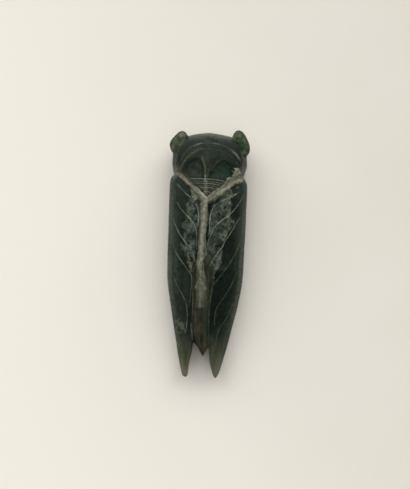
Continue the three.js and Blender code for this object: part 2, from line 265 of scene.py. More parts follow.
def wing_surface(side):
    inner, outer = (inner_l, wing_l) if side < 0 else (inner_r, wing_r)
    inner, outer = inner(yc), outer(yc)
    v = np.clip((X - inner) / (outer - inner), 0, 1)
    top = RIDGE - WING_DROP * np.clip((yc + HALF) / 14, 0, 1)
    edge = RIM + 0.35
    bow = 0.22 * np.sin(np.pi * v) * np.clip((yc + HALF) / 20, 0, 1)
    return top + (edge - top) * v**1.25 + bow


middle = np.where(yc < 0, (inner_l(yc) + inner_r(yc)) / 2, -0.5)
WING = np.where(X < middle, wing_surface(-1), wing_surface(1))

# thorax in front of the arms of the Y, wings behind them
arm_y = curve([(-12, 22.2), (-9.2, 20.5), (-6.35, 19.1), (-4.05, 17.05), (-2.2, 15.45), (-0.5, 13.9), (0.3, 13.95), (2.7, 15.85), (4.8, 17.75), (6.6, 19.3), (9.3, 20.4), (12, 22.2)])
front = (Y - arm_y(X)) * 0.72
T = mix(WING, dome, smooth(front, -0.12, 0.12))

# abdomen: a low roof between the wings
ab_l, ab_r = abdomen_l(yc), abdomen_r(yc)
in_abdomen = np.minimum(X - ab_l, ab_r - X)
across = np.clip(np.abs(X - (ab_l + ab_r) / 2) / ((ab_r - ab_l) / 2), 0, 1.2)
roof = RIDGE - np.clip((1.5 - yc) * 0.12, 0, 0.62) * across**1.7 - 0.05
roof = roof - 0.12 * smooth(-yc, 2, 8) * np.cos(X * 5.2 + 0.6 * fbm(X, Y, 2.0, 12, 2)) * smooth(in_abdomen, 0, 0.6) * 0.35
abdomen = smooth(in_abdomen, -0.25, 0.3) * (yc < 12.5)
T = mix(T, roof, abdomen * smooth(-yc, -2.5, 1.0))

GROOVES = []  # masks of engraved lines, for the pale deposit in them


def cut(path, width, depth, deposit=1.0, ends=0.06, seed=1, keep=None, tone=1.0):
    """Engraves a line, with uneven depth and tapering ends, and returns its mask."""
    global T
    d, t = line_distance(path)
    wander = 1 + 0.22 * noise2(X, Y, 1.1, seed)
    profile = np.exp(-((d / (width * 0.5 * wander)) ** 2) * 1.6)
    fade = smooth(t, 0, ends) * smooth(1 - t, 0, ends)
    fade = np.where(ends > 0, np.maximum(fade, 0.15), 1.0)
    if keep is not None:
        fade = fade * keep
    T = T - depth * profile * fade
    lit = mix(0.58, 1.0, smooth(noise2(X, Y, 1.5, seed + 300) + 0.5 * noise2(X, Y, 0.5, seed + 400), -0.45, 0.55))
    mask = np.exp(-((d / (width * 0.5)) ** 2) * 1.5) * fade * deposit * lit * np.clip(tone, 0, 1)
    GROOVES.append(mask)
    return mask


# hollows of the thorax
HOLLOW_L = spline([(-5.9, 21.3), (-5.5, 22.5), (-4.8, 23.4), (-3.7, 24.2), (-2.7, 24.1), (-2.0, 23.3), (-1.5, 21.9), (-1.35, 20.4), (-1.7, 19.5), (-3.0, 19.3), (-4.8, 19.5), (-5.7, 20.2), (-5.9, 21.3)], 0.3)
HOLLOW_R = spline([(5.9, 21.3), (5.6, 22.5), (5.0, 23.4), (4.0, 24.1), (3.0, 24.0), (1.9, 23.0), (1.1, 21.9), (0.4, 20.6), (0.4, 19.6), (2.4, 19.2), (4.6, 19.1), (5.6, 19.8), (5.9, 21.3)], 0.3)
hollow = np.maximum(area_distance(HOLLOW_L), area_distance(HOLLOW_R))
hollow = hollow + 0.05 * noise2(X, Y, 0.9, 5)
bowl = np.clip(hollow / 1.5, 0, 1)
T = T - 0.22 * smooth(hollow, -0.4, 2.3) - 0.03 * smooth(hollow, -0.15, 0.3)

# arcs over the head, with the band between them standing a little proud
ARC1 = spline([(-7.55, 23.2), (-6.5, 25.5), (-5.1, 27.05), (-3.2, 28.1), (-0.9, 28.55), (1.7, 28.5), (4.15, 27.85), (5.9, 26.85), (7.5, 25.3), (8.35, 23.6)])
ARC2 = spline([(-7.3, 21.6), (-6.4, 23.6), (-5.3, 24.9), (-3.9, 26.1), (-2.3, 26.9), (-0.5, 27.2), (1.6, 27.1), (3.5, 26.6), (5.2, 25.8), (6.6, 24.5), (7.7, 22.9)])
d1, _ = line_distance(ARC1, 2)
d2, _ = line_distance(ARC2, 2)
band = np.clip(1 - np.abs(d1 - d2) / 1.3, 0, 1) * np.clip(1.6 - (d1 + d2), 0, 1)
T = T + 0.02 * smooth(band, 0, 0.7)
# the first arc's pale deposit is made stronger where the arc catches the light: partly deposit, partly a painted
# highlight
arc1_deposit_and_highlight = np.exp(-(((X - 7.0) / 1.1) ** 2 + ((Y - 25.9) / 1.3) ** 2)) + 0.45 * np.exp(-(((X + 3.2) / 1.2) ** 2)) + 0.4 * np.exp(-(((X - 1.6) / 0.9) ** 2))
arc1 = cut(ARC1, 0.26, 0.05, 0.50, 0.05, 11, None, 0.2 + arc1_deposit_and_highlight)
cut(spline([(5.5, 26.65), (6.4, 26.05), (7.2, 25.25), (7.85, 24.4)]), 0.16, 0.03, 0.34, 0.2, 15)
bright2 = np.exp(-(((X - 7.2) / 0.8) ** 2 + ((Y - 23.3) / 1.0) ** 2)) + 0.35 * smooth(-X, 2.0, 4.5)
arc2 = cut(ARC2, 0.32, 0.06, 0.20, 0.05, 12, None, 0.2 + bright2)
# side lobes of the thorax, outside the arcs
for path, seed in (([(-8.35, 20.9), (-8.75, 22.4), (-8.75, 24.2), (-8.3, 26.1)], 13), ([(8.5, 21.6), (9.05, 23.2), (9.0, 24.9), (8.5, 26.4)], 14)):
    cut(spline(path), 0.34, 0.10, 0.10, 0.2, seed)

# the Y-shaped ridge between the hollows
RIDGE_LINES = [
    ([(-0.45, 14.9), (-0.55, 16.2), (-0.68, 18.0), (-0.84, 19.9), (-0.92, 21.2), (-1.05, 22.2), (-1.6, 23.9), (-2.5, 25.5)], 0.22, 0.07, 0.30),
    ([(-0.2, 19.5), (-0.1, 20.7), (0.05, 21.5), (0.45, 22.3), (0.75, 23.6)], 0.16, 0.04, 0.26),
    ([(0.0, 20.9), (0.75, 21.7), (1.5, 22.8), (2.4, 23.8), (3.5, 24.3), (4.4, 24.2)], 0.16, 0.04, 0.22),
]
ridge_line = np.zeros(X.shape)
for path, width, high, pale in RIDGE_LINES:
    d, t = line_distance(spline(path))
    g = np.exp(-((d / width) ** 2)) * smooth(1 - t, 0, 0.25)
    T = T + high * g
    ridge_line = np.maximum(ridge_line, g * pale)
d, t = line_distance(spline(RIDGE_LINES[0][0][:4]))
stripe = np.exp(-((d / mix(0.46, 0.22, smooth(yc, 18.9, 19.6))) ** 4))
stripe = stripe * mix(0.62, 1.0, np.exp(-(((Y - 19.95) / 0.5) ** 2))) * smooth(yc, 14.6, 15.4) * smooth(-yc, -21.0, -20.3)

# fine cross lines behind the hollows
for k, (x0, x1, y, pale) in enumerate([(-4.9, 4.5, 19.14, 0.44), (-4.0, 3.9, 18.55, 0.16), (-3.6, 3.3, 18.02, 0.34), (-2.9, 2.7, 17.48, 0.15), (-2.3, 2.0, 17.0, 0.34), (-1.2, 0.7, 16.0, 0.36)]):
    path = spline([(x0, y), (x0 * 0.5, y + 0.0), (-0.5, y + 0.03), (x1 * 0.45, y - 0.1), (x1, y - 0.42)])
    cut(path, 0.20, 0.06 + 0.05 * pale, pale, 0.1, 20 + k)

# wing veins
VEINS = [
    ([(-8.45, 18.2), (-7.85, 17.58), (-6.8, 16.52), (-5.76, 15.45), (-4.72, 14.59), (-3.89, 13.83), (-3.27, 13.3), (-2.8, 12.5), (-2.4, 11.6), (-2.2, 10.4), (-2.12, 9.0), (-2.27, 6.6)], 0.32, 0.85, 0.75),
    ([(-8.04, 13.3), (-7.66, 12.87), (-7.01, 11.69), (-5.72, 10.24), (-4.99, 9.56), (-4.24, 8.76), (-3.37, 7.73), (-2.59, 5.98), (-2.35, 4.3), (-2.22, 0.6)], 0.35, 0.9, 0.35),
    ([(-8.88, 9.16), (-8.09, 7.3), (-6.94, 5.09), (-5.93, 3.71), (-4.69, 2.22), (-3.57, 1.08), (-3.0, 0.0), (-2.7, -2.4)], 0.18, 0.66, 0.4),
    ([(-9.25, 4.6), (-7.84, 0.6), (-6.68, -1.29), (-5.3, -3.01), (-4.42, -4.28), (-3.5, -5.25), (-3.28, -7.2), (-3.4, -11.0), (-3.6, -13.2)], 0.03, 0.65, 0.2),
    ([(-8.35, -5.4), (-7.63, -7.02), (-6.98, -8.29), (-6.34, -9.45), (-5.1, -11.5), (-4.37, -13.3), (-4.07, -15.7), (-4.08, -18.4), (-4.35, -21.0)], 0.3, 0.45, 0.55),
    ([(8.2, 16.3), (6.97, 15.57), (6.0, 14.9), (4.03, 13.85), (3.15, 13.41), (2.18, 12.67), (1.6, 11.95), (1.2, 11.0), (0.94, 10.3), (0.84, 9.08), (0.79, 7.42), (0.9, 5.4)], 0.65, 0.95, 0.9),
    ([(9.35, 16.2), (8.72, 14.44), (7.97, 13.11), (7.12, 11.87), (6.6, 11.2), (5.42, 9.98), (3.93, 8.85), (2.56, 7.49), (1.67, 6.16), (1.14, 4.71), (0.6, 3.27), (0.45, 1.4)], 0.2, 0.95, 0.9),
    ([(8.7, 10.0), (8.29, 9.27), (7.52, 8.05), (7.05, 7.0), (6.45, 5.9), (5.6, 4.6), (4.75, 3.2), (4.3, 2.0), (3.42, 0.9), (2.53, -0.56), (1.65, -2.14), (1.2, -3.6)], 0.3, 0.8, 0.6),
    ([(8.95, 4.2), (8.57, 2.41), (7.82, 0.6), (7.05, -0.85), (6.17, -2.55), (4.71, -4.62), (2.8, -7.19), (2.2, -8.0)], 0.28, 0.26, 0.3),
    ([(8.6, -4.0), (8.27, -4.71), (7.52, -6.52), (6.76, -8.33), (5.6, -10.4), (4.4, -12.3), (3.6, -13.6), (3.2, -14.9), (3.07, -17.1), (3.18, -18.9)], 0.22, 0.3, 0.5),
    ([(7.8, -12.4), (6.84, -15.1), (5.8, -17.0), (4.45, -19.2), (3.85, -21.4), (3.69, -24.1)], 0.15, 0.25, 0.3),
]
for k, (path, first, middle_, last) in enumerate(VEINS):
    path = spline(path)
    t = line_distance(path)[1]
    deep = np.interp(t, [0, 0.15, 0.36, 0.6, 1], [first, mix(first, middle_, 0.35), mix(first, middle_, 0.9), middle_, last])
    worn = 0.76 + 0.24 * smooth(noise2(X, Y, 2.3, 40 + k), -0.5, 0.5)
    cut(path, 0.17, 0.06, deep * 1.25, 0.06, 60 + k, worn)
# short fainter strokes: by the fork, by the scuffed place, along the abdomen
for k, (path, deep) in enumerate([
    ([(-5.7, -17.4), (-4.95, -19.0), (-4.47, -20.7)], 0.5),
    ([(-3.05, -5.0), (-2.85, -9.0), (-2.72, -13.0), (-2.75, -17.5), (-2.5, -22.4)], 0.34),
    ([(2.35, -5.0), (2.25, -8.0), (1.85, -11.0), (1.58, -14.5), (1.65, -19.0), (1.88, -23.6)], 0.34),
    ([(-3.1, -17.8), (-2.75, -20.4), (-2.45, -22.6)], 0.45),
    ([(4.6, 15.0), (5.4, 13.2), (5.2, 11.9)], 0.3),
    ([(3.1, 3.8), (4.1, 5.2), (6.0, 7.6)], 0.3),
    ([(3.4, -2.0), (3.9, -0.2), (3.0, -3.9), (2.2, -5.6)], 0.36),
]):
    cut(spline(path), 0.18, 0.05, deep, 0.12, 90 + k)

# the raised Y, worn and pitted, with a chipped end on its right arm
Y_SHAPE = [
    (-8.9, 20.85), (-7.9, 20.7), (-6.6, 19.95), (-5.3, 18.85), (-4.3, 17.85), (-3.4, 17.05), (-2.6, 16.8), (-1.6, 15.8), (-0.6, 14.8), (-0.19, 14.35),
    (0.38, 14.95), (1.25, 15.84), (2.22, 16.58), (3.2, 17.12), (4.07, 17.96), (4.15, 18.76), (4.8, 19.6), (5.95, 19.95), (6.16, 20.65), (6.03, 21.3), (6.75, 21.6), (6.45, 22.25), (7.55, 22.4), (8.1, 21.73), (8.5, 20.9), (9.3, 20.3),
    (9.3, 19.5), (8.35, 18.75), (7.46, 18.3), (6.4, 17.75), (6.0, 17.14), (5.65, 16.4), (4.95, 16.1), (4.35, 15.6), (3.85, 14.98), (2.9, 14.5), (1.95, 13.85), (1.2, 13.2), (0.42, 12.75),
    (0.16, 12.4), (0.25, 10.5), (0.3, 8.6), (0.04, 6.8), (-0.1, 4.4), (0.12, 2.1), (0.45, 0.6), (0.0, -0.8), (-0.3, -2.0), (-0.3, -3.5), (0.0, -5.0), (0.3, -6.5), (0.35, -8.0), (0.6, -8.9), (0.4, -10.2), (0.7, -11.5), (0.35, -13.0), (0.15, -14.5), (-0.4, -13.7),
    (-1.0, -14.2), (-1.5, -13.6), (-1.8, -14.2), (-2.1, -12.7), (-1.8, -11.0), (-2.0, -9.8), (-2.3, -8.9), (-2.2, -8.2), (-1.75, -7.0), (-1.8, -5.2), (-2.07, -3.9), (-2.02, -2.2), (-1.9, 0.8), (-1.88, 3.2), (-1.86, 5.5), (-1.72, 7.9), (-1.85, 11.5), (-1.9, 12.6), (-1.5, 13.4),
    (-2.3, 14.5), (-3.2, 15.5), (-4.2, 16.35), (-5.3, 17.4), (-6.4, 18.5), (-7.5, 19.35), (-8.95, 20.2),
]
# a lower, altered mass in the corner under the left arm
MASS = [(-4.4, 15.7), (-4.6, 16.9), (-3.2, 16.5), (-2.0, 15.5), (-0.5, 14.0), (-1.0, 13.0), (-1.7, 13.1), (-2.1, 13.6), (-2.5, 14.2), (-2.9, 13.5), (-3.2, 13.2), (-3.6, 14.0), (-4.1, 14.5)]
in_y = area_distance(Y_SHAPE, 3)
arm_edge = smooth(X, 3.2, 4.6) * smooth(Y - 0.62 * X, 14.6, 15.6) * (yc > 15)
ragged = in_y + (0.13 + 0.14 * arm_edge) * fbm(X, Y, 1.0, 31, 3) + (0.09 + 0.10 * arm_edge) * noise2(X, Y, 0.35, 33)
mass = area_distance(MASS, 2) + 0.20 + 0.30 * fbm(X, Y, 0.75, 34, 3) + 0.12 * noise2(X, Y, 0.4, 36)
mass_mask = smooth(mass, -0.15, 0.3)
stem_fade = mix(0.25, 1.0, smooth(yc, -12.5, -5.0))
pits = np.clip(fbm(X, Y, 0.8, 35, 3) - 0.18, 0, 1)
gentle = np.exp(-((line_distance(spline([(0.0, 13.7), (1.12, 13.95), (2.29, 14.9), (3.06, 15.6), (3.9, 16.3)]), 2)[0] / 0.8) ** 2))
raised = mix(smooth(ragged, -0.08, 0.26), smooth(ragged, -0.14, 0.62), gentle)
T = mix(T, dome + Y_RAISE * stem_fade - 0.10 * pits, raised * (yc > -14.2) * smooth(yc, -14.2, -9))
T = mix(T, dome + 0.06 - 0.16 * pits, smooth(mass, -0.1, 0.35) * (1 - raised))

# streaks in the altered stone run along each bar of the Y
along_r, over_r = X * 0.823 + Y * 0.567, Y * 0.823 - X * 0.567
along_l, over_l = X * 0.768 - Y * 0.640, Y * 0.768 + X * 0.640
along_f, over_f = X * 0.898 + Y * 0.439, Y * 0.898 - X * 0.439
flare = smooth(along_r, 13.6, 15.2)
streak_r = mix(noise2(along_r * 0.16, over_r, 0.30, 101), noise2(along_f * 0.14, over_f, 0.34, 102), flare)
streak_l = noise2(along_l * 0.16, over_l, 0.30, 103)
streak_s = noise2(X, Y * 0.13, 0.26, 104) * 0.7 + noise2(X, Y * 0.2, 0.5, 105) * 0.5
streak = np.where(yc > 13.6, np.where(X > -0.2, streak_r, streak_l), streak_s)
T = T - (0.035 + 0.07 * flare) * (0.5 - 0.5 * streak) * raised * smooth(yc, -13, -8)
# chips round the flared end
chip_zone = np.exp(-(((X - 7.3) / 1.3) ** 2 + ((Y - 21.3) / 1.5) ** 2))
T = T - 0.30 * chip_zone * np.clip(fbm(X, Y, 0.9, 37, 3) + 0.05, 0, 1)

# scuffed place on the left wing
scuff_zone = np.exp(-((((X + 5.9) / 1.3) ** 2 + ((Y + 18.9) / 2.0) ** 2) ** 2))
T = T - 0.10 * scuff_zone * np.clip(fbm(X, Y, 0.6, 39, 3) + 0.1, 0, 1)

# a worn polish: broad, very shallow waves and a few nicks
T = T + 0.035 * fbm(X, Y, 3.4, 41, 2) + 0.012 * fbm(X, Y, 0.9, 43, 2)
T = T - 0.05 * np.clip(fbm(X, Y, 0.5, 47, 2) - 0.62, 0, 1) * 6

# ---- underside: a flat belly with plain carving -----------------------------------
B = LIFT + np.zeros(X.shape)


def cut_under(path, width, depth):
    global B
    d, t = line_distance(path, 1.8)
    g = np.exp(-((d / (width * 0.5)) ** 2) * 1.5)
    B = B + depth * g
    GROOVES_UNDER.append(g)


GROOVES_UNDER = []
for y in (-1.0, -5.0, -9.0, -13.0, -17.0):
    half = min(3.6, 2.2 + (y + 22) * 0.1)
    cut_under(spline([(-half - 0.3, y + 0.5), (-0.3, y - 0.35), (half - 0.3, y + 0.5)]), 0.5, 0.22)
for s in (-1, 1):
    cut_under(spline([(s * 6.2, 26.5), (s * 3.4, 22.6), (s * 0.6, 19.8)]), 0.5, 0.24)
    cut_under(spline([(s * 2.3, 29.2), (s * 1.5, 26.0), (s * 0.55, 22.6)]), 0.42, 0.18)
    cut_under(spline([(s * 8.6, 19.4), (s * 6.2, 13.5), (s * 4.6, 5.0), (s * 3.9, -4.0), (s * 3.2, -14.0), (s * 2.7, -22.3)]), 0.5, 0.24)
    cut_under(spline([(s * 7.9, 8.0), (s * 6.9, -2.0), (s * 5.9, -12.0), (s * 4.8, -22.0)]), 0.36, 0.12)

# ---- bevels -----------------------------------------------------------------------
thick = np.clip((T - B) / 4.2, 0.22, 1)
is_head = smooth(yc, SHOULDER - 0.3, SHOULDER + 0.3) + np.zeros(X.shape)
bevel_w = mix(1.75, 2.3, is_head) * mix(0.45, 1, thick)
edge_t = np.clip(1 - D / bevel_w, 0, 1.3)
T_open = T.copy()
T = T - mix(1.25 * edge_t**1.7, 1.7 * edge_t**2.1, is_head) * thick
BELLY_W = 2.5
edge_b = np.clip(1 - D / (BELLY_W * mix(0.4, 1, thick)), 0, 1.3)
B = B + 1.25 * edge_b**1.5 * thick
# the bevelled rim; the material paints it lighter, a painted sheen off the sloping edge
rim_sheen = smooth(edge_t, 0.05, 0.75)

gTy, gTx = np.gradient(T, MAP)
gBy, gBx = np.gradient(B, MAP)
ST = 1 / np.sqrt(1 + np.minimum(gTx**2 + gTy**2, 6))
SB = 1 / np.sqrt(1 + np.minimum(gBx**2 + gBy**2, 6))

# ---- eyes: blunt lobes at the front corners -----------------------------------------
EYE_L = spline([(-9.75, 26.15), (-10.2, 26.9), (-10.46, 28.0), (-10.2, 29.0), (-9.5, 29.95), (-8.85, 30.7), (-8.2, 31.35), (-7.4, 31.65), (-6.6, 31.55), (-6.15, 31.05), (-5.7, 30.3), (-5.9, 29.3), (-6.6, 28.2), (-7.6, 27.2), (-8.7, 26.3), (-9.75, 26.15)], 0.3)
EYE_R = spline([(9.65, 25.8), (10.25, 26.5), (10.5, 27.5), (10.4, 28.6), (9.95, 29.7), (9.4, 30.7), (8.8, 31.6), (8.15, 32.25), (7.45, 32.46), (6.8, 32.3), (6.3, 31.8), (5.95, 31.0), (5.7, 30.2), (5.95, 29.3), (6.7, 28.6), (7.5, 27.9), (8.2, 27.0), (8.8, 26.0), (9.65, 25.8)], 0.3)
EYE_Z, EYE_UP, EYE_ROUND = 3.85, 1.4, 1.2
EYE_D = np.maximum(area_distance(EYE_L, 2), area_distance(EYE_R, 2))
# a carved line parts each eye's outer lobe from its inner knob
EYE_LINES = [
    [(6.5, 31.9), (7.3, 31.95), (7.9, 31.2), (8.05, 30.2), (8.35, 28.9), (9.1, 27.3), (9.55, 26.4)],
    [(-6.9, 30.9), (-7.7, 31.0), (-8.6, 30.2), (-9.4, 29.2), (-9.75, 28.1), (-9.6, 27.1)],
    [(-7.3, 27.7), (-8.2, 27.2), (-9.1, 26.7)],
    [(9.0, 30.6), (9.5, 29.4), (9.75, 28.0)],
]
EYE_CUT = np.zeros(X.shape)
for path in EYE_LINES:
    d, _ = line_distance(spline(path))
    EYE_CUT = np.maximum(EYE_CUT, np.exp(-((d / 0.17) ** 2)))
EYE_BUMP = 0.07 * fbm(X, Y, 1.1, 71, 3) - 0.09 * EYE_CUT
KNOBS = [((-7.6, 30.1, 4.5), (0.9, 0.8, 0.85)), ((7.0, 30.7, 4.5), (0.9, 1.0, 0.85))]


def ellipsoid(x, y, z, centre, semi):
    u, v, w = (x - centre[0]) / semi[0], (y - centre[1]) / semi[1], (z - centre[2]) / semi[2]
    return (np.sqrt(u**2 + v**2 + w**2 + 1e-9) - 1) * min(semi)


def round_max(a, b, r):
    return np.minimum(np.maximum(a, b), -r) + np.hypot(np.maximum(a + r, 0), np.maximum(b + r, 0))


def smooth_min(a, b, k):
    h = np.clip(0.5 + 0.5 * (b - a) / k, 0, 1)
    return b + (a - b) * h - k * h * (1 - h)


def eyes_field(x, y, z):
    flat = np.maximum(EYE_ROUND - sample(EYE_D, x, y), 0)
    tall = np.maximum(np.abs(z - EYE_Z) - (EYE_UP - EYE_ROUND), 0)
    f = np.hypot(flat, tall) - EYE_ROUND - sample(EYE_BUMP, x, y) * (z > EYE_Z)
    for centre, semi in KNOBS:
        f = smooth_min(f, ellipsoid(x, y, z, centre, semi), 0.5)
    return f


def field(x, y, z, t=None, b=None, d=None, st=None, sb=None, k=None):
    """Negative in the stone, about a distance in millimetres."""
    if t is None:
        t, b, d = sample(T, x, y), sample(B, x, y), sample(D, x, y)
        st, sb, k = sample(ST, x, y), sample(SB, x, y), sample(thick, x, y)
    f = round_max((z - t) * st, -d, 0.30 * k)
    f = round_max(f, (b - z) * sb, 0.34 * k)
    e = eyes_field(x, y, z) if np.max(y) > 24 else np.full(np.shape(f), 9.0)
    # a crease where each eye leaves the head
    return smooth_min(f, e, 0.75)


# ---- surface nets --------------------------------------------------------------------
def surface_nets():
    gx = np.arange(-11.2, 11.2, PITCH)
    gy = np.arange(-33.1, 33.2, PITCH)
    gz = np.arange(-0.5, 10.2, PITCH)
    GX, GY = np.meshgrid(gx, gy, indexing="ij")
    maps = [sample(m, GX, GY) for m in (T, B, D, ST, SB, thick)]
    F = np.empty((len(gx), len(gy), len(gz)), np.float32)
    head = int(np.searchsorted(gy, 24.5))
    for n, z in enumerate(gz):
        F[:, :head, n] = field(GX[:, :head], GY[:, :head] * 0, z, *(m[:, :head] for m in maps))
        F[:, head:, n] = field(GX[:, head:], GY[:, head:], z, *(m[:, head:] for m in maps))
    S = F < 0
    count = np.zeros([n - 1 for n in S.shape], np.int8)
    corners = [(a, b, c) for a in (0, 1) for b in (0, 1) for c in (0, 1)]
    nx, ny, nz = count.shape
    for a, b, c in corners:
        count += S[a : a + nx, b : b + ny, c : c + nz]
    active = (count > 0) & (count < 8)
    I, J, K = np.nonzero(active)
    number = np.full(active.shape, -1, np.int32)
    number[I, J, K] = np.arange(len(I))
    total, weight = np.zeros((len(I), 3)), np.zeros(len(I))
    edges = [(p, q) for p in corners for q in corners if p < q and sum(abs(m - n) for m, n in zip(p, q)) == 1]
    for p, q in edges:
        fp = F[I + p[0], J + p[1], K + p[2]].astype(float)
        fq = F[I + q[0], J + q[1], K + q[2]].astype(float)
        hit = (fp < 0) != (fq < 0)
        t = np.where(hit, fp / np.where(hit, fp - fq, 1), 0)
        for axis in range(3):
            total[:, axis] += np.where(hit, p[axis] + t * (q[axis] - p[axis]), 0)
        weight += hit
    P = total / weight[:, None] + np.column_stack([I, J, K])
    P = P * PITCH + [gx[0], gy[0], gz[0]]
    quads = []
    for axis in range(3):
        u_axis, v_axis = [(1, 2), (2, 0), (0, 1)][axis]
        a = [slice(None)] * 3
        b = [slice(None)] * 3
        a[axis], b[axis] = slice(None, -1), slice(1, None)
        A, Bq = S[tuple(a)], S[tuple(b)]
        change = A != Bq
        e = np.array(np.nonzero(change))
        ok = (e[u_axis] > 0) & (e[v_axis] > 0) & (e[u_axis] < active.shape[u_axis]) & (e[v_axis] < active.shape[v_axis])
        e = e[:, ok]
        flip = A[tuple(e)]
        cells = []
        for du, dv in ((-1, -1), (0, -1), (0, 0), (-1, 0)):
            c = e.copy()
            c[u_axis] += du
            c[v_axis] += dv
            cells.append(number[tuple(c)])
        q = np.column_stack(cells)
        q[~flip] = q[~flip][:, ::-1]
        quads.append(q)
    quads = np.vstack(quads)
    return P, quads[(quads >= 0).all(1)]


def gradient(p, e=0.05):
    g = np.empty_like(p)
    for axis in range(3):
        step = np.zeros(3)
        step[axis] = e
        g[:, axis] = (field(*(p + step).T) - field(*(p - step).T)) / (2 * e)
    return g


def settle(p, rounds, limit=0.08):
    for _ in range(rounds):
        g = gradient(p, 0.04)
        n2 = np.maximum((g**2).sum(1), 0.05)
        move = -(field(*p.T) / n2)[:, None] * g
        size = np.linalg.norm(move, axis=1, keepdims=True)
        p = p + move * np.minimum(1, limit / np.maximum(size, 1e-9))
    return p


P, quads = surface_nets()
P = settle(P, 2)

mesh = bpy.data.meshes.new("cicada_stone")
mesh.from_pydata((P * MM).tolist(), [], quads.tolist())
stone = bpy.data.objects.new("cicada_stone", mesh)
bpy.context.scene.collection.objects.link(stone)
thin = stone.modifiers.new("thin", "DECIMATE")
thin.decimate_type = "COLLAPSE"
thin.ratio = min(1.0, KEEP / (2 * len(quads)))
thin.use_collapse_triangulate = True
done = stone.evaluated_get(bpy.context.evaluated_depsgraph_get())
mesh = bpy.data.meshes.new_from_object(done)
stone.modifiers.clear()
stone.data = mesh
mesh.name = "cicada_stone"

P = np.empty(len(mesh.vertices) * 3)
mesh.vertices.foreach_get("co", P)
P = settle(P.reshape(-1, 3) / MM, 2, 0.05)
mesh.vertices.foreach_set("co", (P * MM).ravel())
mesh.update()
N = gradient(P, 0.07)
N /= np.maximum(np.linalg.norm(N, axis=1, keepdims=True), 1e-9)
mesh.polygons.foreach_set("use_smooth", np.ones(len(mesh.polygons), bool))
mesh.normals_split_custom_set_from_vertices(N.tolist())

# ---- masks on the vertices --------------------------------------------------------------
x, y, z = P.T
up = smooth(N[:, 2], -0.35, 0.15)  # 1 on the top and the side walls, 0 underneath


def at(grid):
    return np.clip(sample(grid, x, y), 0, 1)


veins = np.zeros(X.shape)
for g in GROOVES:
    veins = np.maximum(veins, g)
under = np.zeros(X.shape)
for g in GROOVES_UNDER:
    under = np.maximum(under, g)

# altered, pale surface of the Y
calc = smooth(ragged + 0.08 * gentle + 0.10 * fbm(X, Y, 0.5, 51, 2), -0.14, 0.16) * (yc > -15)
calc = calc * mix(0.25, 1.0, smooth(yc + 0.5 * noise2(X, Y, 0.8, 52), -14.6, -13.6))
calc = np.maximum(calc, smooth(mass, -0.1, 0.35) * mix(0.3, 1.0, smooth(fbm(X, Y, 0.7, 106, 3), -0.22, 0.25)))
# how pale it is: a brighter core in the stem, worn places on the arms
middle_x = curve([(-14, -0.8), (-9, -0.8), (-7, -0.85), (-5, -1.1), (-3, -1.42), (-1.5, -1.15), (2, -1.1), (4, -1.05), (6, -0.9), (8, -0.8), (11.5, -0.65), (13.5, -0.5)])(yc)
core = np.exp(-(((X - middle_x + 0.10 * noise2(X, Y, 2.0, 72)) / 0.52) ** 2))
core = core * np.interp(yc, [-14, -11, -9, -5.5, -3.5, -1.5, 1, 4, 6, 8, 10, 12, 14], [0.42, 0.5, 0.56, 0.5, 0.9, 1.2, 1.2, 1.28, 1.1, 0.9, 0.98, 1.25, 1.35])
core = core + 0.34 * np.exp(-(((X + 0.2) / 0.3) ** 2)) * smooth(-yc, 1.5, 2.5) * smooth(yc, -13.5, -11.5)
core = core - 0.30 * smooth(-X, 1.42, 1.62) * smooth(yc, -2.5, -0.5)
core = core + 0.18 * noise2(X, Y, 1.6, 73)
low_edge = line_distance(spline([(0.0, 13.7), (1.12, 13.95), (2.29, 14.9), (3.06, 15.6), (3.73, 16.3), (4.6, 17.0), (5.6, 17.9), (6.6, 18.6), (8.2, 19.3)]), 2)[0]
right_arm = 0.08 + 0.62 * np.exp(-((low_edge / 0.62) ** 2)) + 0.35 * gentle * smooth(0.45 - in_y, 0.0, 0.5) + 0.15 * noise2(X, Y, 1.1, 74)
white_end = line_distance(spline([(6.4, 22.1), (7.22, 21.8), (7.83, 21.5)]), 2)[0]
white_end = np.exp(-((white_end / 0.42) ** 2)) + np.exp(-(((X - 5.0) / 0.5) ** 2 + ((Y - 19.5) / 0.3) ** 2)) + 0.7 * np.exp(-(((X - 4.6) / 0.35) ** 2 + ((Y - 18.9) / 0.35) ** 2))
in_flare = smooth(along_r, 13.2, 14.6) * smooth(low_edge, 0.5, 1.0)
right_arm = mix(right_arm, -0.12 + 0.40 * streak, in_flare) + 0.9 * white_end
d, t = line_distance(spline([(-8.0, 20.6), (-7.34, 19.95), (-6.41, 19.1), (-5.57, 18.25), (-4.74, 17.4), (-4.01, 16.75), (-3.5, 16.3)]))
left_arm = np.exp(-((d / 0.34) ** 2)) * np.interp(t, [0, 0.2, 0.5, 0.7, 0.85, 1], [0.05, 0.52, 0.72, 0.55, 0.2, 0.0])
d, t = line_distance(spline([(-2.75, 16.6), (-1.96, 15.81), (-1.12, 14.94), (-0.5, 14.4), (-0.1, 13.9)]))
left_arm = np.maximum(left_arm, np.exp(-((d / 0.36) ** 2)) * np.interp(t, [0, 0.3, 0.65, 1], [0.45, 0.95, 1.25, 0.8]))
left_arm = np.maximum(left_arm, np.maximum(0.5 * smooth(X, -3.5, -2.4), (0.42 + 0.5 * noise2(X, Y, 0.6, 116)) * mass_mask))
core = np.where(yc > 13.6, np.where(X > -0.05, right_arm, left_arm), core)
core = core + 0.26 * streak
core = np.maximum(core, 0.75 * stripe)
core = core + 0.5 * np.exp(-(((X + 0.84) / 0.3) ** 2 + ((Y - 20.1) / 0.42) ** 2))
calc = np.maximum(calc, stripe * mix(0.72, 1.0, smooth(yc, 19, 20)))
calc = np.maximum(calc, ridge_line)
calc = np.maximum(calc, 0.8 * chip_zone * smooth(fbm(X, Y, 0.7, 53, 3), -0.2, 0.25) * smooth(in_y, -0.7, 0.1))
d, _ = line_distance(spline([(-8.0, 20.75), (-6.74, 20.05), (-5.52, 19.3), (-4.59, 18.5), (-3.9, 17.75)]))
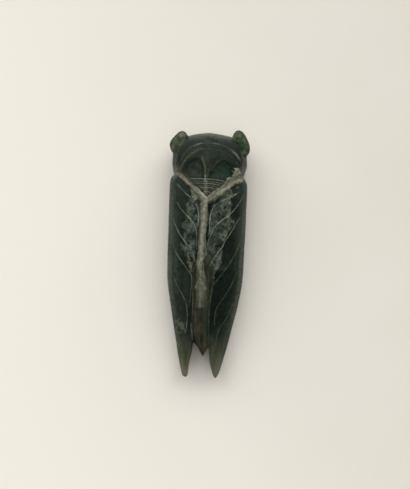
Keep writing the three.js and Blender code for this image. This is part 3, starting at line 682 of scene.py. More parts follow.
brown = 1.15 * np.exp(-((d / 0.62) ** 2)) * smooth(noise2(X, Y, 1.3, 77), -1.4, -0.3)
d, _ = line_distance(spline([(4.45, 18.48), (5.43, 18.92), (6.52, 19.26), (7.7, 19.71), (8.6, 20.2)]))
brown = np.maximum(brown, 0.7 * np.exp(-((d / 0.24) ** 2)) * smooth(noise2(X, Y, 0.9, 78), -0.9, 0.0))
d, _ = line_distance(spline([(1.9, 16.2), (3.2, 17.0), (4.0, 17.8), (4.6, 18.1)]))
brown = np.maximum(brown, 0.72 * np.exp(-((d / 0.36) ** 2)))
brown = brown * smooth(yc, 14, 15)
rosy = np.exp(-(((over_l - 10.65) / 0.7) ** 2)) * smooth(-X, 5.0, 5.9) * (yc > 17)
rosy = rosy + np.exp(-((low_edge / 0.55) ** 2)) * smooth(X, 5.0, 5.8) + 0.8 * np.exp(-(((X - 0.75) / 0.6) ** 2 + ((Y - 14.7) / 0.6) ** 2))
rosy = rosy + 0.8 * np.exp(-(((X + 0.22) / 0.26) ** 2)) * smooth(yc, 7.0, 9.0) * smooth(-yc, -13.4, -12.4)
calc = calc * (1 - 0.45 * smooth(-yc, 8.6, 10.0) * smooth(np.abs(X + 0.75 + 0.3 * streak) - 0.25, 0.0, 1.0))
spots = np.exp(-((((X + 1.9) / 0.38) ** 2 + ((Y + 8.7) / 0.42) ** 2))) + np.exp(-((((X - 0.12) / 0.45) ** 2 + ((Y + 8.95) / 0.5) ** 2)))
# tan skin at the shoulders
tan = np.exp(-((((X + 8.5) / 1.1) ** 2 + ((Y - 21.2) / 1.1) ** 2))) * 0.8 + np.exp(-((((X - 9.1) / 0.9) ** 2 + ((Y - 21.6) / 1.3) ** 2)))

# blue-grey altered patches beside the stem, with broken cream outlines
PATCHES = [
    [(-3.0, 15.1), (-4.2, 14.6), (-4.9, 12.6), (-5.1, 10.8), (-5.0, 9.2), (-6.1, 7.6), (-5.8, 5.6), (-6.0, 4.0), (-6.6, 2.1), (-6.0, 0.1), (-4.8, -1.6), (-4.2, -3.0), (-3.6, -4.8), (-2.8, -4.6), (-2.6, -1.0), (-2.0, 3.0), (-1.7, 8.0), (-1.6, 12.6), (-2.1, 14.3)],
    [(0.6, 13.3), (2.4, 14.6), (4.3, 15.9), (5.6, 16.6), (6.3, 15.0), (5.6, 13.4), (6.1, 11.6), (5.9, 9.9), (6.6, 8.2), (6.0, 6.3), (4.9, 4.6), (4.6, 2.4), (4.2, 0.3), (3.4, -1.6), (2.7, -3.9), (2.1, -5.0), (1.2, -2.6), (0.6, 1.0), (0.5, 6.0), (0.4, 11.0)],
]
wobble = 0.55 * fbm(X, Y, 2.2, 55, 4) + 0.25 * noise2(X, Y, 0.7, 57)
patch_d = np.maximum(area_distance(PATCHES[0]), area_distance(PATCHES[1])) + wobble
patch = smooth(patch_d, -0.15, 0.3)
patch = patch * mix(0.25, 1.0, smooth(fbm(X, Y, 1.4, 59, 4), -0.3, 0.3))
for cx, cy, rx, ry in ((4.8, 8.2, 1.4, 1.2), (2.6, 2.6, 0.8, 0.9), (3.5, 1.7, 0.8, 0.8), (3.3, -2.8, 0.55, 1.0), (-3.8, -1.6, 0.7, 0.9), (-3.3, -3.2, 0.5, 0.9), (-5.6, 1.2, 0.9, 1.4)):
    patch = np.maximum(patch, 0.8 * smooth(1.1 - np.hypot((X - cx) / rx, (Y - cy) / ry) + 0.5 * fbm(X, Y, 0.9, 119, 3), 0.0, 0.5))
for cx, cy, rx, ry in ((-4.2, 8.9, 0.8, 0.6), (-5.1, 10.7, 0.6, 0.8), (-5.0, 12.0, 0.5, 0.5), (2.6, 13.3, 1.3, 0.7)):
    patch = patch * (1 - 0.75 * smooth(1.1 - np.hypot((X - cx) / rx, (Y - cy) / ry) + 0.4 * fbm(X, Y, 0.9, 120, 3), 0.0, 0.5))
cream = 0.45 * np.exp(-((patch_d - 0.05) / 0.12) ** 2) * smooth(fbm(X, Y, 1.3, 61, 3), -0.05, 0.3)
cream = cream * smooth(np.abs(X + 0.55), 1.3, 2.2)
CRACKS = [
    ([(6.1, 9.3), (6.8, 8.5), (6.92, 7.9), (6.25, 7.05), (5.46, 6.07), (5.14, 5.35), (4.3, 4.98), (3.5, 5.15)], 0.62),
    ([(5.15, 5.3), (4.75, 4.4), (4.4, 3.5), (4.35, 2.4)], 0.55),
    ([(4.13, 1.04), (3.95, -0.5), (3.79, -2.29), (3.01, -3.62), (2.35, -4.72), (2.41, -6.14)], 0.62),
    ([(-5.95, 2.1), (-5.7, 1.3), (-5.45, 0.6)], 0.5),
    ([(-5.01, -1.58), (-3.91, -2.36), (-3.39, -3.41), (-3.23, -4.47)], 0.6),
    ([(-4.0, -4.75), (-3.6, -5.15), (-3.15, -5.5)], 0.6),
    ([(4.34, 13.66), (4.47, 12.96), (3.99, 12.34), (3.61, 12.03)], 0.6),
    ([(7.49, 17.5), (7.53, 16.8)], 0.6),
    ([(5.72, 16.5), (5.85, 15.95), (5.59, 15.1), (5.41, 14.6), (5.63, 14.0), (5.76, 13.3), (6.17, 13.0)], 0.95),
    ([(3.3, 5.5), (4.2, 5.1), (4.7, 5.9)], 0.6),
    ([(-3.37, 13.5), (-3.8, 12.57), (-4.58, 11.11), (-4.95, 9.7)], 0.45),
    ([(-5.0, 9.75), (-4.6, 9.2), (-4.1, 8.6)], 0.9),
    ([(-4.9, 1.7), (-4.3, -0.6), (-3.7, -2.4), (-3.5, -4.2)], 0.7),
    ([(-5.5, 5.2), (-5.35, 3.4), (-5.1, 1.9), (-5.3, 0.2)], 0.45),
    ([(-2.7, 14.6), (-3.3, 14.9), (-3.7, 14.2), (-3.1, 13.6)], 0.5),
    ([(-3.2, 15.6), (-2.8, 14.8), (-3.5, 13.9), (-3.9, 12.4), (-3.6, 11.2)], 0.42),
    ([(4.0, 14.0), (4.8, 14.6), (6.0, 14.9), (7.2, 15.6)], 0.6),
    ([(5.2, 15.7), (5.0, 15.1), (5.4, 14.6)], 0.5),
    ([(0.9, 9.2), (0.85, 7.8), (0.95, 6.6)], 0.75),
    ([(1.4, 12.0), (2.2, 12.9), (3.4, 13.6), (4.2, 13.9)], 0.5),
    ([(4.9, 10.0), (5.6, 9.3), (6.2, 8.8), (6.5, 7.6)], 0.5),
    ([(3.2, -1.6), (3.0, -2.9), (2.2, -4.2), (2.35, -5.4)], 0.55),
    ([(2.0, 2.0), (2.6, 3.0), (3.6, 3.6)], 0.4),
    ([(-3.9, -3.2), (-3.1, -4.6), (-2.9, -5.8)], 0.8),
]
for path, strong in CRACKS:
    p = spline(path, 0.2)
    p = p + 0.16 * np.column_stack([noise2(p[:, 0] * 3, p[:, 1] * 3, 1.1, 63), noise2(p[:, 0] * 3, p[:, 1] * 3, 1.1, 64)])
    d, t = line_distance(p)
    width = 0.15 + 0.08 * noise2(X, Y, 0.8, 65)
    cream = np.maximum(cream, strong * np.exp(-((d / width) ** 2)) * smooth(fbm(X, Y, 1.0, 66, 2), -0.5, 0.1))
pit_r = np.hypot(X - 5.56, (Y - 15.8) * 0.85) + 0.16 * noise2(X, Y, 0.6, 121)
cream = np.maximum(cream, 0.95 * np.exp(-(((pit_r - 0.62) / 0.16) ** 2)) * smooth(noise2(X, Y, 0.9, 122), -0.9, 0.1))
d, t = line_distance(spline([(5.3, 15.1), (5.5, 14.6), (5.85, 14.2), (5.8, 13.5), (6.0, 13.0)]))
cream = np.maximum(cream, 0.9 * np.exp(-((d / 0.26) ** 2)) * smooth(fbm(X, Y, 0.6, 123, 2), -0.5, 0.1))
cream = np.maximum(cream, np.exp(-(((X - 0.8) ** 2 + (Y - 9.1) ** 2) / 0.07)))
patch = patch * (1 - 0.9 * smooth(0.5 - pit_r, 0.0, 0.2))
blue = smooth(1.15 - np.hypot((X + 5.15) / 0.95, (Y - 6.8) / 0.85) + 0.35 * fbm(X, Y, 0.9, 79, 2), 0.0, 0.5)
blue = blue + 0.7 * np.exp(-(((X + 5.3) / 0.6) ** 2 + ((Y - 4.7) / 0.6) ** 2)) + 0.5 * np.exp(-(((X - 2.6) / 0.9) ** 2 + ((Y - 4.9) / 1.6) ** 2))


def spot(cx, cy, rx, ry):
    return smooth(1.0 - np.hypot((X - cx) / rx, (Y - cy) / ry) + 0.45 * fbm(X, Y, 1.1, 107, 3), -0.1, 0.45)


grey = np.maximum(0.75 * spot(3.7, 10.6, 2.1, 1.7), spot(5.75, 8.9, 0.65, 0.95))
grey = np.maximum(grey, 0.6 * spot(1.5, 0.7, 0.8, 1.0))
grey = np.maximum(grey, 0.7 * spot(4.3, 12.7, 0.8, 0.7)) * smooth(fbm(X, Y, 0.6, 108, 2), -0.6, 0.1)
green = np.maximum(spot(4.1, 6.3, 0.75, 0.9), 0.6 * spot(-3.9, 9.6, 0.9, 1.6))
green = np.maximum(green, 0.8 * spot(-5.35, 28.6, 1.0, 0.8))

bare = smooth(in_abdomen + 0.2 * fbm(X, Y, 1.2, 67, 3), -0.05, 0.35)
browning = smooth(-yc + 0.9 * noise2(X * 2.2, Y, 1.6, 80), 13.2, 14.8)
rust = bare * browning * mix(1.0, 0.55, smooth(X, 0.3, 1.0))
olive = bare * smooth(-yc, -2.5, 0.8) * (1 - browning)
mid_line = (ab_l + ab_r) / 2 - 0.15
ab_side = np.exp(-(((X - ab_l - 0.3 + 0.1 * noise2(X, Y, 1.4, 109)) / 0.28) ** 2)) + 0.75 * np.exp(-(((X - mid_line + 0.15 * noise2(X, Y, 2.2, 110)) / 0.22) ** 2)) * smooth(noise2(X, Y, 2.4, 111), -0.6, 0.2)
ab_side = ab_side * smooth(-yc, 13.5, 15.0)
right_green = smooth(X - mid_line + 0.35 * noise2(X, Y, 1.7, 115), 0.35, 0.95) * smooth(yc, -25.5, -23.0)
warm_cross = smooth(front, 0.0, 0.4) * smooth(-hollow, 0.05, 0.4) * smooth(-yc, -19.6, -18.4) * (1 - calc)
FAN = [(-3.1, 26.2), (-2.2, 24.3), (-1.35, 22.2), (-1.2, 20.4), (-0.4, 20.4), (0.5, 22.2), (1.6, 24.0), (2.4, 25.2), (0.9, 26.0), (-1.0, 26.5)]
fan = smooth(area_distance(FAN) + 0.45 * fbm(X, Y, 1.2, 81, 3), -0.25, 0.9) * mix(0.75, 0.3, smooth(yc, 22.5, 26.0)) * mix(1.0, 0.55, smooth(X, -1.0, 0.6))

tips = 0.45 * smooth(-yc, 20.0, 26.5) + 0.55 * smooth(-yc, 25.5, 31.0)
tips = tips * smooth(np.abs(X + 0.2), 1.6, 2.6)
pale_tip = smooth(-yc, 29.0, 32.3)
pink = np.exp(-(((X + 4.2) / 1.3) ** 2 + ((Y + 32.0) / 1.4) ** 2)) + smooth(-yc, 22.0, 25.0) * smooth(2.4 - np.abs(X), 0, 0.6)
is_eye = smooth(0.09 * sample(fbm(X, Y, 0.9, 114, 2), x, y) - eyes_field(x, y, z), -0.42, -0.12)
knob = np.zeros(len(x))
for centre, semi in KNOBS:
    knob = np.maximum(knob, smooth(-ellipsoid(x, y, z, centre, (semi[0] + 0.3, semi[1] + 0.3, semi[2] + 0.6)), -0.3, 0.1))

scuff = scuff_zone * smooth(fbm(X, Y, 0.8, 69, 3), -0.38, 0.2)
# the head's paler stone, stepping up towards the front edge into a painted sheen along the forehead's rim
head_tone_and_sheen = 0.30 * smooth(yc, 22.5, 25.0) * smooth(-hollow, 0.1, 0.8) + 0.18 * smooth(yc, 28.4, 29.8) + 0.34 * smooth(yc, 30.0, 31.3)
front_dark = smooth(yc, 19.5, 22.0) + np.zeros(X.shape)
head_tone_and_sheen = head_tone_and_sheen * (1 - 0.6 * smooth(np.abs(X), 6.2, 7.2) * smooth(-np.abs(X), -8.9, -8.2))
left_eye = is_eye * (x < 0)


def glint(cx, cy, r):
    return np.exp(-(((X - cx) ** 2 + (Y - cy) ** 2) / r**2))


lobe_axis, lobe_side = X * 0.5 - Y * 0.866, X * 0.866 + Y * 0.5
lobe_streak = smooth(noise2(lobe_axis * 0.3, lobe_side, 0.28, 117), 0.0, 0.6) * glint(8.5, 29.9, 1.3)
# pale spots and streaks on the eyes, and painted light on the down-facing lower end of the left eye
lit_and_pale_eye_spots = glint(-7.5, 30.0, 0.42) + 0.45 * glint(7.6, 31.0, 0.38) + 0.35 * glint(-7.3, 31.05, 0.3) + 0.6 * glint(9.1, 26.5, 0.7) + 1.0 * glint(-9.3, 26.8, 0.62) + 0.5 * lobe_streak
eye_tan = np.maximum(0.9 * smooth(1.12 - np.hypot(X - 6.8, Y - 30.25), 0.0, 0.3), 0.7 * glint(-9.6, 27.4, 0.75))
eye_tan = np.maximum(eye_tan, 0.8 * np.exp(-((line_distance(spline([(-9.3, 26.8), (-8.84, 27.1), (-8.1, 27.6), (-7.37, 28.2)]), 2)[0] / 0.26) ** 2)))
eye_tan = np.maximum(eye_tan, np.maximum(0.7 * glint(9.9, 28.3, 0.5), 0.6 * glint(9.2, 26.6, 0.6)))
eye_dark = 0.7 * glint(-8.35, 29.85, 0.3) + 0.6 * glint(-9.5, 28.6, 0.3) + 0.6 * glint(7.0, 31.25, 0.26) + 0.8 * glint(5.95, 29.3, 0.34)
eye_rim = np.exp(-(((EYE_D - 0.20) / 0.26) ** 2)) * smooth(noise2(X, Y, 1.1, 118), -0.9, -0.1) * smooth(Y + 0.35 * np.abs(X), 30.4, 31.4)
eye_shade = np.maximum(0.9 * EYE_CUT, 0.75 * np.exp(-(((EYE_D - 0.28) / 0.22) ** 2)) * smooth(noise2(X, Y, 1.2, 82), -0.8, 0.2))
# the wings grow lighter towards their outer edges, partly paler fibrous stone and partly a painted sheen on the sloping
# edges and the lower left wing; the right one is darker inside
grooved = noise2(D, Y * 0.035, 0.30, 112) * 0.6 + noise2(D, Y * 0.06, 0.75, 113) * 0.6
outer = smooth(4.6 - D, 0.0, 4.2) * (yc < 20.6) * np.clip(0.82 + 0.55 * grooved, 0, 1.3)
outer = outer * (1 - 0.22 * smooth(yc, -2.0, 0.5) * smooth(-yc, -10.5, -8.0) * (X < 0))
outer = outer + 0.42 * smooth(-yc, 1.0, 6.0) * smooth(-X, 2.8, 4.2) + 0.24 * smooth(-yc, 8.0, 13.0) * smooth(X, 2.0, 3.6)
outer = outer + 0.8 * smooth(1.1 - np.hypot((X - 4.5) / 1.2, (Y + 3.5) / 0.8) + 0.4 * fbm(X, Y, 1.0, 124, 3), 0.0, 0.5)
deep = smooth(X, 1.6, 3.6) * smooth(D, 1.2, 3.0) * smooth(-yc, -16, -11) * smooth(yc, -22, -17)
deep = deep * mix(0.55, 1.0, smooth(fbm(X, Y, 3.0, 83, 2), -0.35, 0.15)) * (1 - 0.8 * smooth(1.1 - np.hypot((X - 4.5) / 1.2, (Y + 3.5) / 0.8), 0.0, 0.4))
deep = np.maximum(deep, smooth(X, 0.0, 1.0) * smooth(yc, 18.0, 19.0))
tan_arc = line_distance(ARC2, 2)[0] + 0.15 * noise2(X, Y, 1.2, 84)
tan_arc = 0.95 * np.exp(-((tan_arc / 0.40) ** 2)) * smooth(-X, 1.6, 3.4)


def attribute(name, *channels):
    rgba = np.ones((len(x), 4), np.float32)
    for k, c in enumerate(channels):
        rgba[:, k] = np.clip(c, 0, 1)
    layer = mesh.attributes.new(name, "FLOAT_COLOR", "POINT")
    layer.data.foreach_set("color", rgba.ravel())


attribute("mask_a", np.maximum(at(veins) * up, 0.35 * at(under) * (1 - up)), at(calc) * up, at(patch) * up)
attribute("mask_b", at(rust) * mix(0.6, 1, up), np.clip(at(tips), 0, 1), at(rim_sheen) * up)
attribute("mask_c", at(cream) * up, at(blue) * up, np.maximum(is_eye, knob) * (y > 24.8))
attribute("mask_d", at(smooth(hollow, -0.1, 0.7)) * up, at(np.maximum(scuff, tan)) * up, at(np.maximum(np.maximum(warm_cross, fan), tan_arc)) * up)
attribute("mask_e", knob, at(head_tone_and_sheen) * up, at(pink) * mix(0.7, 1, up))
attribute("mask_f", at(core), at(brown) * up, at(olive) * mix(0.6, 1, up))
attribute("mask_g", at(spots) * up, at(pale_tip + np.zeros(X.shape)), left_eye)
attribute("mask_h", at(outer) * mix(0.6, 1, up), at(deep) * up, at(eye_shade) * smooth(N[:, 2], 0.1, 0.55))
attribute("mask_i", at(rosy), at(grey) * up, at(green) * up)
attribute("mask_j", at(front_dark) * up, at(ab_side), at(right_green) * up)
attribute("mask_k", at(lit_and_pale_eye_spots) * up, at(eye_tan) * up, np.maximum(at(eye_dark) * up, at(eye_rim) * smooth(N[:, 2], -0.2, 0.1)))


# ---- material ------------------------------------------------------------------------------
def rgb(r, g, b):
    """sRGB 0-255 to linear."""
    return (*[(c / 255 / 12.92) if c <= 10 else ((c / 255 + 0.055) / 1.055) ** 2.4 for c in (r, g, b)], 1.0)


stuff = bpy.data.materials.new("nephrite")
stuff.use_nodes = True
tree = stuff.node_tree
tree.nodes.clear()
nodes, links = tree.nodes, tree.links


def node(kind, **values):
    n = nodes.new(kind)
    for key, value in values.items():
        setattr(n, key, value)
    return n


def put(socket, value):
    if isinstance(value, bpy.types.NodeSocket):
        links.new(value, socket)
    else:
        socket.default_value = value


def maths(op, a, b=None, clamp=False):
    n = node("ShaderNodeMath", operation=op, use_clamp=clamp)
    put(n.inputs[0], a)
    if b is not None:
        put(n.inputs[1], b)
    return n.outputs[0]


def blend(factor, a, b):
    n = node("ShaderNodeMix", data_type="RGBA", clamp_factor=True)
    put(n.inputs[0], factor)
    put(n.inputs[6], a)
    put(n.inputs[7], b)
    return n.outputs[2]


def remap(value, a, b, c=0.0, d=1.0):
    n = node("ShaderNodeMapRange", interpolation_type="SMOOTHSTEP", clamp=True)
    put(n.inputs[0], value)
    for k, v in zip((1, 2, 3, 4), (a, b, c, d)):
        n.inputs[k].default_value = v
    return n.outputs[0]


coords = node("ShaderNodeTexCoord")


def noise(scale_mm, detail=4.0, rough=0.55, distortion=0.0, stretch=None):
    n = node("ShaderNodeTexNoise")
    n.inputs["Scale"].default_value = 1.0 / (scale_mm * MM)
    n.inputs["Detail"].default_value = detail
    n.inputs["Roughness"].default_value = rough
    n.inputs["Distortion"].default_value = distortion
    if stretch:
        m = node("ShaderNodeMapping")
        m.inputs["Scale"].default_value = stretch
        links.new(coords.outputs["Object"], m.inputs["Vector"])
        links.new(m.outputs[0], n.inputs["Vector"])
    else:
        links.new(coords.outputs["Object"], n.inputs["Vector"])
    return n.outputs["Fac"]


def masks(name):
    a = node("ShaderNodeAttribute", attribute_name=name)
    s = node("ShaderNodeSeparateColor")
    links.new(a.outputs["Color"], s.inputs[0])
    return s.outputs[0], s.outputs[1], s.outputs[2]


vein, calcified, patchy = masks("mask_a")
rusty, thin_tip, edge_sheen = masks("mask_b")
creamy, bluish, eye = masks("mask_c")
hollowed, scuffed, warm = masks("mask_d")
knobby, sheened_head_mask, pinkish = masks("mask_e")
core, browned, olive = masks("mask_f")
spotted, tipped, lit_eye = masks("mask_g")
outer, deep, shaded = masks("mask_h")
rosy, greyed, greened = masks("mask_i")
forward, sided, massed = masks("mask_j")
eye_spots_and_painted_light, eye_warm, eye_deep = masks("mask_k")

cloud = noise(7.0, 5, 0.6, 0.4)
mottle = noise(1.6, 5, 0.62, 0.2)
speck = noise(0.8, 3, 0.7)
fine = noise(0.45, 4, 0.6)
grain = noise(0.14, 3, 0.6)
fibre = noise(2.2, 5, 0.65, 0.3, (1.0, 0.22, 1.0))
thread = noise(0.9, 4, 0.6, 0.2, (1.0, 0.16, 1.0))
# thin wandering lines where a noise crosses its middle
web = maths("ABSOLUTE", maths("SUBTRACT", noise(2.4, 4, 0.6, 0.5), 0.5))
web = remap(web, 0.022, 0.004)

# the dark stone: near-black green with clouded, fibrous lighter parts
base = blend(remap(cloud, 0.36, 0.66), rgb(11, 21, 15), rgb(21, 32, 24))
base = blend(remap(fibre, 0.48, 0.72, 0.0, 0.6), base, rgb(44, 54, 46))
# partly paler stone, partly a painted sheen: the wings' outer parts are painted lighter
base = blend(maths("MULTIPLY", outer, remap(fibre, 0.32, 0.62, 0.5, 1.0)), base, rgb(49, 58, 48))
base = blend(maths("MULTIPLY", deep, 0.9), base, blend(remap(cloud, 0.4, 0.62), rgb(12, 20, 15), rgb(21, 30, 24)))
base = blend(remap(mottle, 0.30, 0.46, 0.55, 0.0), base, rgb(11, 19, 14))
base = blend(remap(speck, 0.55, 0.70, 0.0, 0.35), base, rgb(50, 58, 50))
base = blend(remap(fine, 0.38, 0.28, 0.0, 0.4), base, rgb(9, 15, 11))
hollow_colour = blend(remap(mottle, 0.35, 0.65), rgb(30, 37, 30), rgb(42, 49, 41))
hollow_colour = blend(deep, hollow_colour, blend(remap(mottle, 0.35, 0.65), rgb(19, 33, 24), rgb(32, 46, 35)))
base = blend(maths("MULTIPLY", hollowed, 0.92), base, hollow_colour)
# the head is painted paler, and lightest along its front edge: partly the head's own paler stone, partly a painted
# sheen
head_colour = blend(remap(mottle, 0.38, 0.62), rgb(26, 36, 28), rgb(46, 55, 45))
head_colour = blend(remap(cloud, 0.52, 0.60, 0.0, 0.6), head_colour, rgb(32, 52, 42))
head_colour = blend(maths("MULTIPLY", greened, 0.8), head_colour, rgb(26, 48, 31))
base = blend(maths("MULTIPLY", sheened_head_mask, remap(speck, 0.3, 0.6, 0.7, 1.0), True), base, head_colour)
# painted sheen: the bevelled rim is painted a lighter grey-green
base = blend(maths("MULTIPLY", edge_sheen, remap(fibre, 0.35, 0.65, 0.15, 0.6)), base, rgb(64, 70, 60))
base = blend(maths("MULTIPLY", forward, maths("SUBTRACT", 0.42, maths("MULTIPLY", hollowed, 0.42)), True), base, rgb(13, 22, 15))
# between the hollows and before the fork it is warmer
base = blend(maths("MULTIPLY", warm, 0.75), base, blend(remap(fine, 0.35, 0.62), rgb(34, 38, 28), rgb(60, 60, 48)))
# thin tips let light through and look greener
tip_colour = blend(remap(fibre, 0.35, 0.65), rgb(82, 86, 65), rgb(107, 110, 88))
base = blend(maths("MULTIPLY", thin_tip, 0.9), base, tip_colour)
base = blend(maths("MULTIPLY", tipped, 0.7), base, rgb(108, 108, 90))
base = blend(maths("MULTIPLY", pinkish, 0.75), base, rgb(116, 106, 90))
# eyes
eye_colour = blend(remap(speck, 0.38, 0.60), rgb(24, 40, 23), rgb(52, 70, 48))
eye_colour = blend(maths("MULTIPLY", lit_eye, 0.75), eye_colour, blend(remap(speck, 0.38, 0.60), rgb(52, 62, 46), rgb(82, 90, 72)))
eye_colour = blend(maths("MULTIPLY", shaded, 0.55), eye_colour, rgb(28, 38, 25))
base = blend(maths("MULTIPLY", eye, 0.97), base, eye_colour)
base = blend(maths("MULTIPLY", knobby, remap(speck, 0.3, 0.6, 0.1, 0.5)), base, rgb(72, 79, 56))
base = blend(maths("MULTIPLY", eye_warm, remap(fine, 0.3, 0.6, 0.55, 0.9)), base, blend(remap(speck, 0.4, 0.6), rgb(68, 70, 50), rgb(94, 94, 74)))
# pale spots on the eyes, with painted light on the left eye's lower end
base = blend(maths("MULTIPLY", eye_spots_and_painted_light, remap(fine, 0.3, 0.6, 0.5, 0.95)), base, rgb(110, 122, 99))
base = blend(maths("MULTIPLY", eye_deep, 0.92), base, rgb(25, 29, 17))
# altered patches
patch_colour = blend(remap(mottle, 0.35, 0.58), rgb(36, 45, 38), rgb(74, 84, 74))
patch_colour = blend(remap(speck, 0.50, 0.64, 0.0, 0.5), patch_colour, rgb(92, 101, 92))
patch_colour = blend(maths("MULTIPLY", greened, 0.6), patch_colour, blend(remap(speck, 0.4, 0.6), rgb(34, 52, 38), rgb(64, 84, 66)))
patch_colour = blend(maths("MULTIPLY", greyed, 0.75), patch_colour, blend(remap(speck, 0.36, 0.62), rgb(56, 63, 57), rgb(86, 92, 86)))
base = blend(maths("MULTIPLY", patchy, remap(mottle, 0.34, 0.58, 0.45, 1.0)), base, patch_colour)
base = blend(maths("MULTIPLY", maths("MULTIPLY", patchy, web), 0.5), base, rgb(122, 128, 110))
base = blend(maths("MULTIPLY", bluish, remap(speck, 0.3, 0.6, 0.6, 0.95)), base, rgb(62, 74, 73))
base = blend(maths("MULTIPLY", creamy, remap(fine, 0.36, 0.60, 0.2, 0.9)), base, rgb(140, 144, 120))
base = blend(maths("MULTIPLY", scuffed, remap(fine, 0.3, 0.6, 0.35, 0.95)), base, rgb(92, 94, 82))
# olive, then rusty stone between the wings
base = blend(maths("MULTIPLY", olive, 0.85), base, blend(remap(thread, 0.38, 0.62), rgb(40, 44, 30), rgb(64, 68, 52)))
rust_colour = blend(remap(thread, 0.36, 0.62), rgb(36, 34, 24), rgb(74, 70, 54))
rust_colour = blend(remap(mottle, 0.50, 0.62, 0.0, 0.75), rust_colour, rgb(46, 52, 39))
rust_colour = blend(maths("MULTIPLY", massed, remap(speck, 0.3, 0.6, 0.5, 0.9)), rust_colour, blend(remap(thread, 0.36, 0.6), rgb(36, 44, 32), rgb(58, 66, 50)))
rust_colour = blend(maths("MULTIPLY", maths("MULTIPLY", pinkish, rusty), 0.5), rust_colour, rgb(84, 68, 54))
rust_colour = blend(maths("MULTIPLY", sided, 0.8), rust_colour, rgb(22, 24, 17))
base = blend(maths("MULTIPLY", rusty, 0.95), base, rust_colour)
# pale altered skin of the Y
edge_skin = blend(remap(thread, 0.36, 0.62), rgb(62, 66, 51), rgb(88, 91, 77))
pale_skin = blend(remap(speck, 0.36, 0.62), rgb(112, 115, 99), rgb(144, 146, 129))
paleness = maths("ADD", core, maths("MULTIPLY", maths("SUBTRACT", speck, 0.5), 0.9), True)
skin = blend(paleness, edge_skin, pale_skin)
skin = blend(remap(fine, 0.28, 0.38, 0.35, 0.0), skin, rgb(60, 64, 50))
skin = blend(maths("MULTIPLY", rosy, 0.32, True), skin, rgb(134, 122, 104))
skin = blend(maths("MULTIPLY", browned, 0.85), skin, blend(remap(fine, 0.35, 0.65), rgb(45, 44, 32), rgb(86, 77, 62)))
base = blend(maths("MULTIPLY", browned, 0.7), base, blend(remap(fine, 0.35, 0.65), rgb(46, 46, 34), rgb(66, 62, 49)))
skin_mask = maths("MULTIPLY", calcified, remap(grain, 0.25, 0.50, 0.8, 1.0), True)
base = blend(skin_mask, base, skin)
base = blend(maths("MULTIPLY", spotted, 0.8, True), base, rgb(116, 119, 94))
# pale deposit in the engraved lines
line_mask = maths("MULTIPLY", vein, remap(fine, 0.30, 0.56, 0.45, 1.0), True)
base = blend(line_mask, base, rgb(164, 174, 158))

dull = maths("MAXIMUM", skin_mask, maths("MAXIMUM", maths("MULTIPLY", creamy, 0.8), maths("MULTIPLY", scuffed, 0.8)))
dull = maths("MAXIMUM", dull, maths("MULTIPLY", line_mask, 0.7))
polish = remap(mottle, 0.30, 0.70, 0.20, 0.32)
rough = maths("ADD", polish, maths("MULTIPLY", dull, 0.36))
rough = maths("ADD", rough, maths("MULTIPLY", patchy, 0.08))
rough = maths("ADD", rough, maths("MULTIPLY", rusty, 0.12), True)

bump_a = node("ShaderNodeBump")
bump_a.inputs["Strength"].default_value = 0.4
bump_a.inputs["Distance"].default_value = 0.00006
links.new(maths("MULTIPLY", maths("ADD", fine, grain), maths("ADD", maths("MULTIPLY", dull, 0.9), 0.12)), bump_a.inputs["Height"])
bump_b = node("ShaderNodeBump")
bump_b.inputs["Strength"].default_value = 0.25
bump_b.inputs["Distance"].default_value = 0.00004
links.new(mottle, bump_b.inputs["Height"])
links.new(bump_a.outputs[0], bump_b.inputs["Normal"])

shader = node("ShaderNodeBsdfPrincipled")
put(shader.inputs["Base Color"], base)
put(shader.inputs["Roughness"], rough)
shader.inputs["IOR"].default_value = 1.5
shader.inputs["Specular IOR Level"].default_value = 0.17
links.new(bump_b.outputs[0], shader.inputs["Normal"])
out = node("ShaderNodeOutputMaterial")
links.new(shader.outputs[0], out.inputs["Surface"])
mesh.materials.clear()
mesh.materials.append(stuff)

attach(stone, "root")
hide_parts("cicada")

# ---- ground ---------------------------------------------------------------------------------
ground_mesh = bpy.data.meshes.new("ground")
g = 3.0
ground_mesh.from_pydata([(-g, -g, 0), (g, -g, 0), (g, g, 0), (-g, g, 0)], [], [(0, 1, 2, 3)])
ground = bpy.data.objects.new("ground", ground_mesh)
bpy.context.scene.collection.objects.link(ground)
paper = bpy.data.materials.new("paper")
paper.use_nodes = True
tree = paper.node_tree
tree.nodes.clear()
nodes, links = tree.nodes, tree.links
coords = node("ShaderNodeTexCoord")
tone = noise(60.0, 3, 0.5)
tooth = noise(0.5, 4, 0.6)
paper_shader = node("ShaderNodeBsdfPrincipled")
paper_tint = blend(remap(tone, 0.35, 0.65), (0.735, 0.705, 0.64, 1), (0.76, 0.735, 0.675, 1))
place = node("ShaderNodeSeparateXYZ")
links.new(coords.outputs["Object"], place.inputs[0])
# the paper is painted lighter towards the left and the tail end and darker towards the right and the head end: a
# painted fall-off of light
painted_light_falloff = maths("SUBTRACT", place.outputs[0], maths("MULTIPLY", place.outputs[1], -0.25))
paper_tint = blend(remap(painted_light_falloff, -0.075, 0.085), (0.885, 0.86, 0.79, 1), paper_tint)
put(paper_shader.inputs["Base Color"], paper_tint)
put(paper_shader.inputs["Roughness"], remap(tooth, 0.3, 0.7, 0.82, 0.95))
paper_shader.inputs["Specular IOR Level"].default_value = 0.2
paper_bump = node("ShaderNodeBump")
paper_bump.inputs["Strength"].default_value = 0.15
paper_bump.inputs["Distance"].default_value = 0.00005
links.new(tooth, paper_bump.inputs["Height"])
links.new(paper_bump.outputs[0], paper_shader.inputs["Normal"])
paper_out = node("ShaderNodeOutputMaterial")
links.new(paper_shader.outputs[0], paper_out.inputs["Surface"])
ground_mesh.materials.append(paper)

# ---- light -------------------------------------------------------------------------------------
WINDOW, ROOM = 7.4, 0.34
world = bpy.data.worlds.new("room")
world.use_nodes = True
bpy.context.scene.world = world
tree = world.node_tree
tree.nodes.clear()
nodes, links = tree.nodes, tree.links
coords = node("ShaderNodeTexCoord")


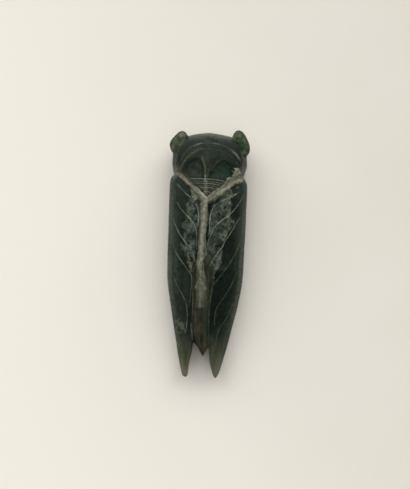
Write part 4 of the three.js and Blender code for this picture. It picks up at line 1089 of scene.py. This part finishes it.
# a wide window low beyond the head, the rest of the room even
way = node("ShaderNodeSeparateXYZ")
links.new(coords.outputs["Generated"], way.inputs[0])
beyond = maths("ADD", way.outputs[1], maths("MULTIPLY", way.outputs[0], -0.06))
window_light = maths("MULTIPLY", remap(way.outputs[2], 0.70, 0.36), remap(beyond, 0.30, 0.72))
glow = maths("ADD", maths("MULTIPLY", window_light, WINDOW), ROOM)
light = node("ShaderNodeBackground")
light.inputs[0].default_value = (1.0, 0.985, 0.955, 1)
links.new(glow, light.inputs[1])
# gloss shows a softer, dimmer picture of the same room
softened = maths("MULTIPLY", remap(way.outputs[2], 0.0, 0.7, 0.15, 1.0), remap(beyond, -0.5, 0.9))
calm = node("ShaderNodeBackground")
calm.inputs[0].default_value = (1.0, 0.985, 0.955, 1)
softened = maths("MULTIPLY", softened, remap(way.outputs[2], 0.98, 0.75))
links.new(maths("ADD", maths("MULTIPLY", softened, 0.75), remap(way.outputs[2], 0.97, 0.65, 0.07, 0.26)), calm.inputs[1])
plain = node("ShaderNodeBackground")
plain.inputs[0].default_value = (0.83, 0.80, 0.74, 1)
seen = node("ShaderNodeLightPath")
mirrored = node("ShaderNodeMixShader")
links.new(seen.outputs["Is Glossy Ray"], mirrored.inputs[0])
links.new(light.outputs[0], mirrored.inputs[1])
links.new(calm.outputs[0], mirrored.inputs[2])
either = node("ShaderNodeMixShader")
links.new(seen.outputs["Is Camera Ray"], either.inputs[0])
links.new(mirrored.outputs[0], either.inputs[1])
links.new(plain.outputs[0], either.inputs[2])
world_out = node("ShaderNodeOutputWorld")
links.new(either.outputs[0], world_out.inputs[0])

# ---- camera --------------------------------------------------------------------------------------
cam_data = bpy.data.cameras.new("camera")
cam = bpy.data.objects.new("camera", cam_data)
bpy.context.scene.collection.objects.link(cam)
bpy.context.scene.camera = cam
cam_data.sensor_width = 36.0
cam_data.lens = 60.0
cam_data.clip_start = 0.005
tall = 0.1273 + 0.0002  # the frame's height where the stone's outline is widest
distance = tall * cam_data.lens / cam_data.sensor_width
roll = math.radians(2.33)
cam.matrix_world = Matrix.Translation((-0.00019, 0.00242, distance + 0.0035)) @ Matrix.Rotation(roll, 4, "Z")

bpy.context.scene.view_settings.view_transform = "Standard"
